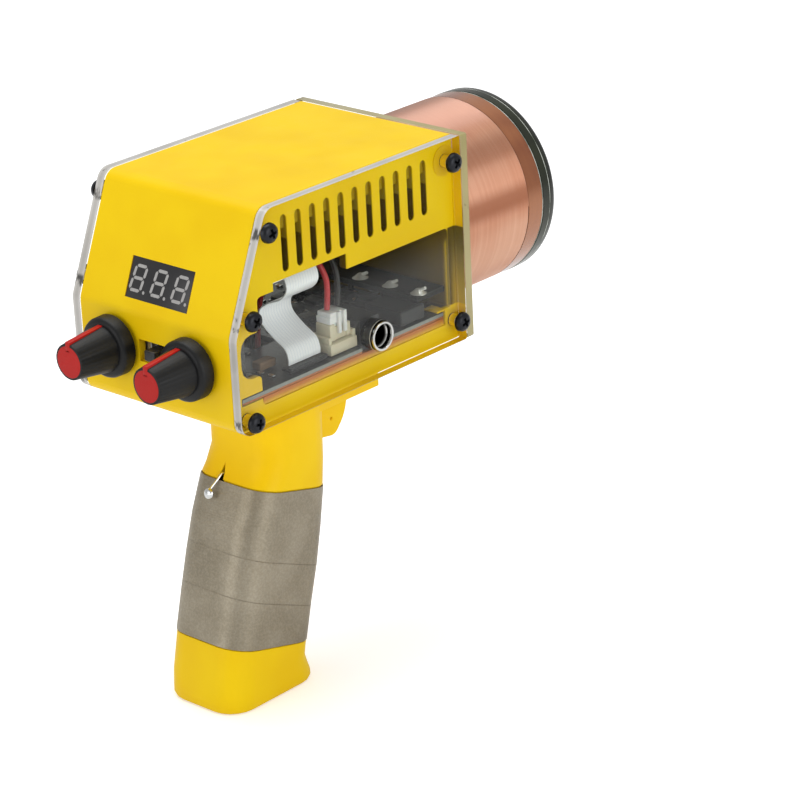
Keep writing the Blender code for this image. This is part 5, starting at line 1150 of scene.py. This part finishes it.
def make_ribbon():
    """The S of the ribbon and its fold towards the display."""
    shape = bmesh.new()
    path = smooth_route([(x, RIBBON_REAR, z) for x, z in RIBBON_ROUTE], 8)
    line = [shape.verts.new(at(*point)) for point in path]
    edges = [shape.edges.new(pair) for pair in zip(line, line[1:])]
    width = Vector((0, (RIBBON_FRONT - RIBBON_REAR) * MM, 0))
    pulled(shape, bmesh.ops.extrude_edge_only(shape, edges=edges), width)
    fold = [shape.verts.new(at(x, y, RIBBON_TOP))
            for x, y in ((2, RIBBON_REAR), (2, 14), (14, 14))]
    corner = max((v for v in shape.verts if v not in fold),
                 key=lambda v: (round(v.co.z, 6), -v.co.x, v.co.y))
    shape.faces.new((line[-1], corner, fold[0]))
    shape.faces.new((line[-1], *fold))
    bmesh.ops.recalc_face_normals(shape, faces=shape.faces)
    bmesh.ops.solidify(shape, geom=shape.faces[:], thickness=RIBBON_THICKNESS * MM)
    piece("ribbon_piece", shape, ribbon_white, "ribbon_cable")


make_ribbon()

# %% [markdown]
# ## Charging jack
# A bright turned sleeve stands a little out of the right side, round the dark socket.
# Its lip is rounded to catch the light, and its bore is painted dark as painted shade.

# %% Jack
chrome = Finish("bright_sleeve", "steel", Metallic=1.0, Roughness=0.14)
outside = off_axis(chrome.measure("Y"), chrome.measure("Z"), JACK_AXIS).between(12.6, 14.4)
# painted shade: the sleeve is painted dark inside its bore
bore = 1 - (chrome.measure("X") - 1.5 * outside).between(29.1, 29.6)
bright = chrome.mix(chrome.noise(300), (196, 196, 192), (232, 232, 230))
chrome.paint(bore, bright, (34, 33, 31))
SLEEVE = (
    (4.1, 9.3), (4.1, 13.75), (4, 13.95), (3.85, 14), (3.5, 13.95), (3.4, 13.8), (3.4, 12.2),
    (2.9, 11.6), (2.9, 0), (3.3, 0), (3.3, 9.3), (4.1, 9.3))
sleeve = turned(SLEEVE, at(17.4, *JACK_AXIS), "+X", 64)
piece("sleeve_piece", sleeve, chrome, "charge_socket_sleeve")
dress("charge_socket", chip_black, 0.2)

# %% [markdown]
# ## Conductive tape
# The grip is wrapped in metallised cloth tape. It has the fine weave of its cloth,
# soft creases where it was stretched, and two slanting seams. The piece is a copy of
# its solid with its facets smoothed.

# %% Tape
SEAMS = (-38.1, -50.5)
SEAM_SLOPE = 0.42

cloth = Finish("metal_cloth", "conductive_cloth", Metallic=0.6)
weave = cloth.wave("Y", (1100, 1100, 1100)) * cloth.wave("Z", (1100, 1100, 1100))
crease = cloth.noise((70, 70, 70), 3, 0.55)
broad = cloth.noise((30, 30, 30), 2)
rising = cloth.measure("Z") + SEAM_SLOPE * cloth.measure("Y") + 0.5 * broad
seams = sum((rising.between(level - 0.12, level + 0.12) for level in SEAMS), start=0.0)
lines = sum((rising.near(level, 0.1, 0.4) for level in SEAMS), start=0.0)
threads = cloth.noise(1500, 3, 0.7).between(0.35, 0.7)
plain = cloth.mix(
    crease.between(0.3, 0.7) * 0.35 + broad * 0.35 + threads * 0.3, (126, 117, 98), (174, 165, 147))
cloth.paint(lines * 0.2, plain, (96, 86, 66), Roughness=0.34 + 0.14 * crease)
cloth.bump(seams * 0.25 + crease * 0.22 + broad * 0.2 + weave * 0.05, 0.6, 0.8)


def make_tape():
    """The tape, a sheet stretched round the grip."""
    made = piece("tape_piece", merged("conductive_tape"), cloth, "conductive_tape", normals=False)


make_tape()

# %% [markdown]
# ## Metal and hidden pieces
# What is left is small or hidden: the ground wire, the switch, shafts, inner screws,
# the base of the coil and the battery. The clear sides let some of them be seen.

# %% Remaining pieces
steel = Finish("brushed_steel", "steel", Metallic=1.0)
brushed = steel.noise((2000, 150, 150), 2)
steel.paint(brushed, (150, 150, 150), (196, 196, 196), Roughness=0.28 + 0.14 * brushed)
brass = drifting(
    "turned_brass", "brass_metal", 400, (196, 158, 92), (222, 188, 120), Metallic=1, Roughness=0.28)
wrap = drifting(
    "shrink_wrap", "blue_wrap", 60, (40, 62, 120), (58, 84, 150), Roughness=0.3, Coat_Weight=0.4,
    Coat_Roughness=0.15)
plastic_black = drifting(
    "black_plastic", "black_plastic", 120, (24, 24, 26), (36, 36, 39), Roughness=0.4)
plastic_black.bump(plastic_black.noise(1800, 2), 0.03)

REST = (
    (brass, "body", ("discharge_tip",)),
    (plastic_black, "body", ("coil_base_plug", "microswitch_body")),
    (copper, "body", ("primary_coil",)),
    (steel, "body", ("coil_screw_upper", "coil_screw_lower", "board_screw_left",
                     "board_screw_right", "grip_screw_left", "grip_screw_right",
                     "power_potentiometer", "frequency_potentiometer", "mode_switch_body",
                     "trigger_pin")),
    (steel, "power_knob", ("power_shaft",)),
    (steel, "frequency_knob", ("frequency_shaft",)),
    (plastic_black, "mode_slider", ("mode_switch_slider",)),
    (tin, "body", ("ground_wire",)),
    (wrap, "body", ("battery_pack",)),
    (red, "microswitch_plunger", ("microswitch_plunger",)),
)
for finish, body, nodes in REST:
    for node in nodes:
        dress(node, finish, 0.1, body, 1)
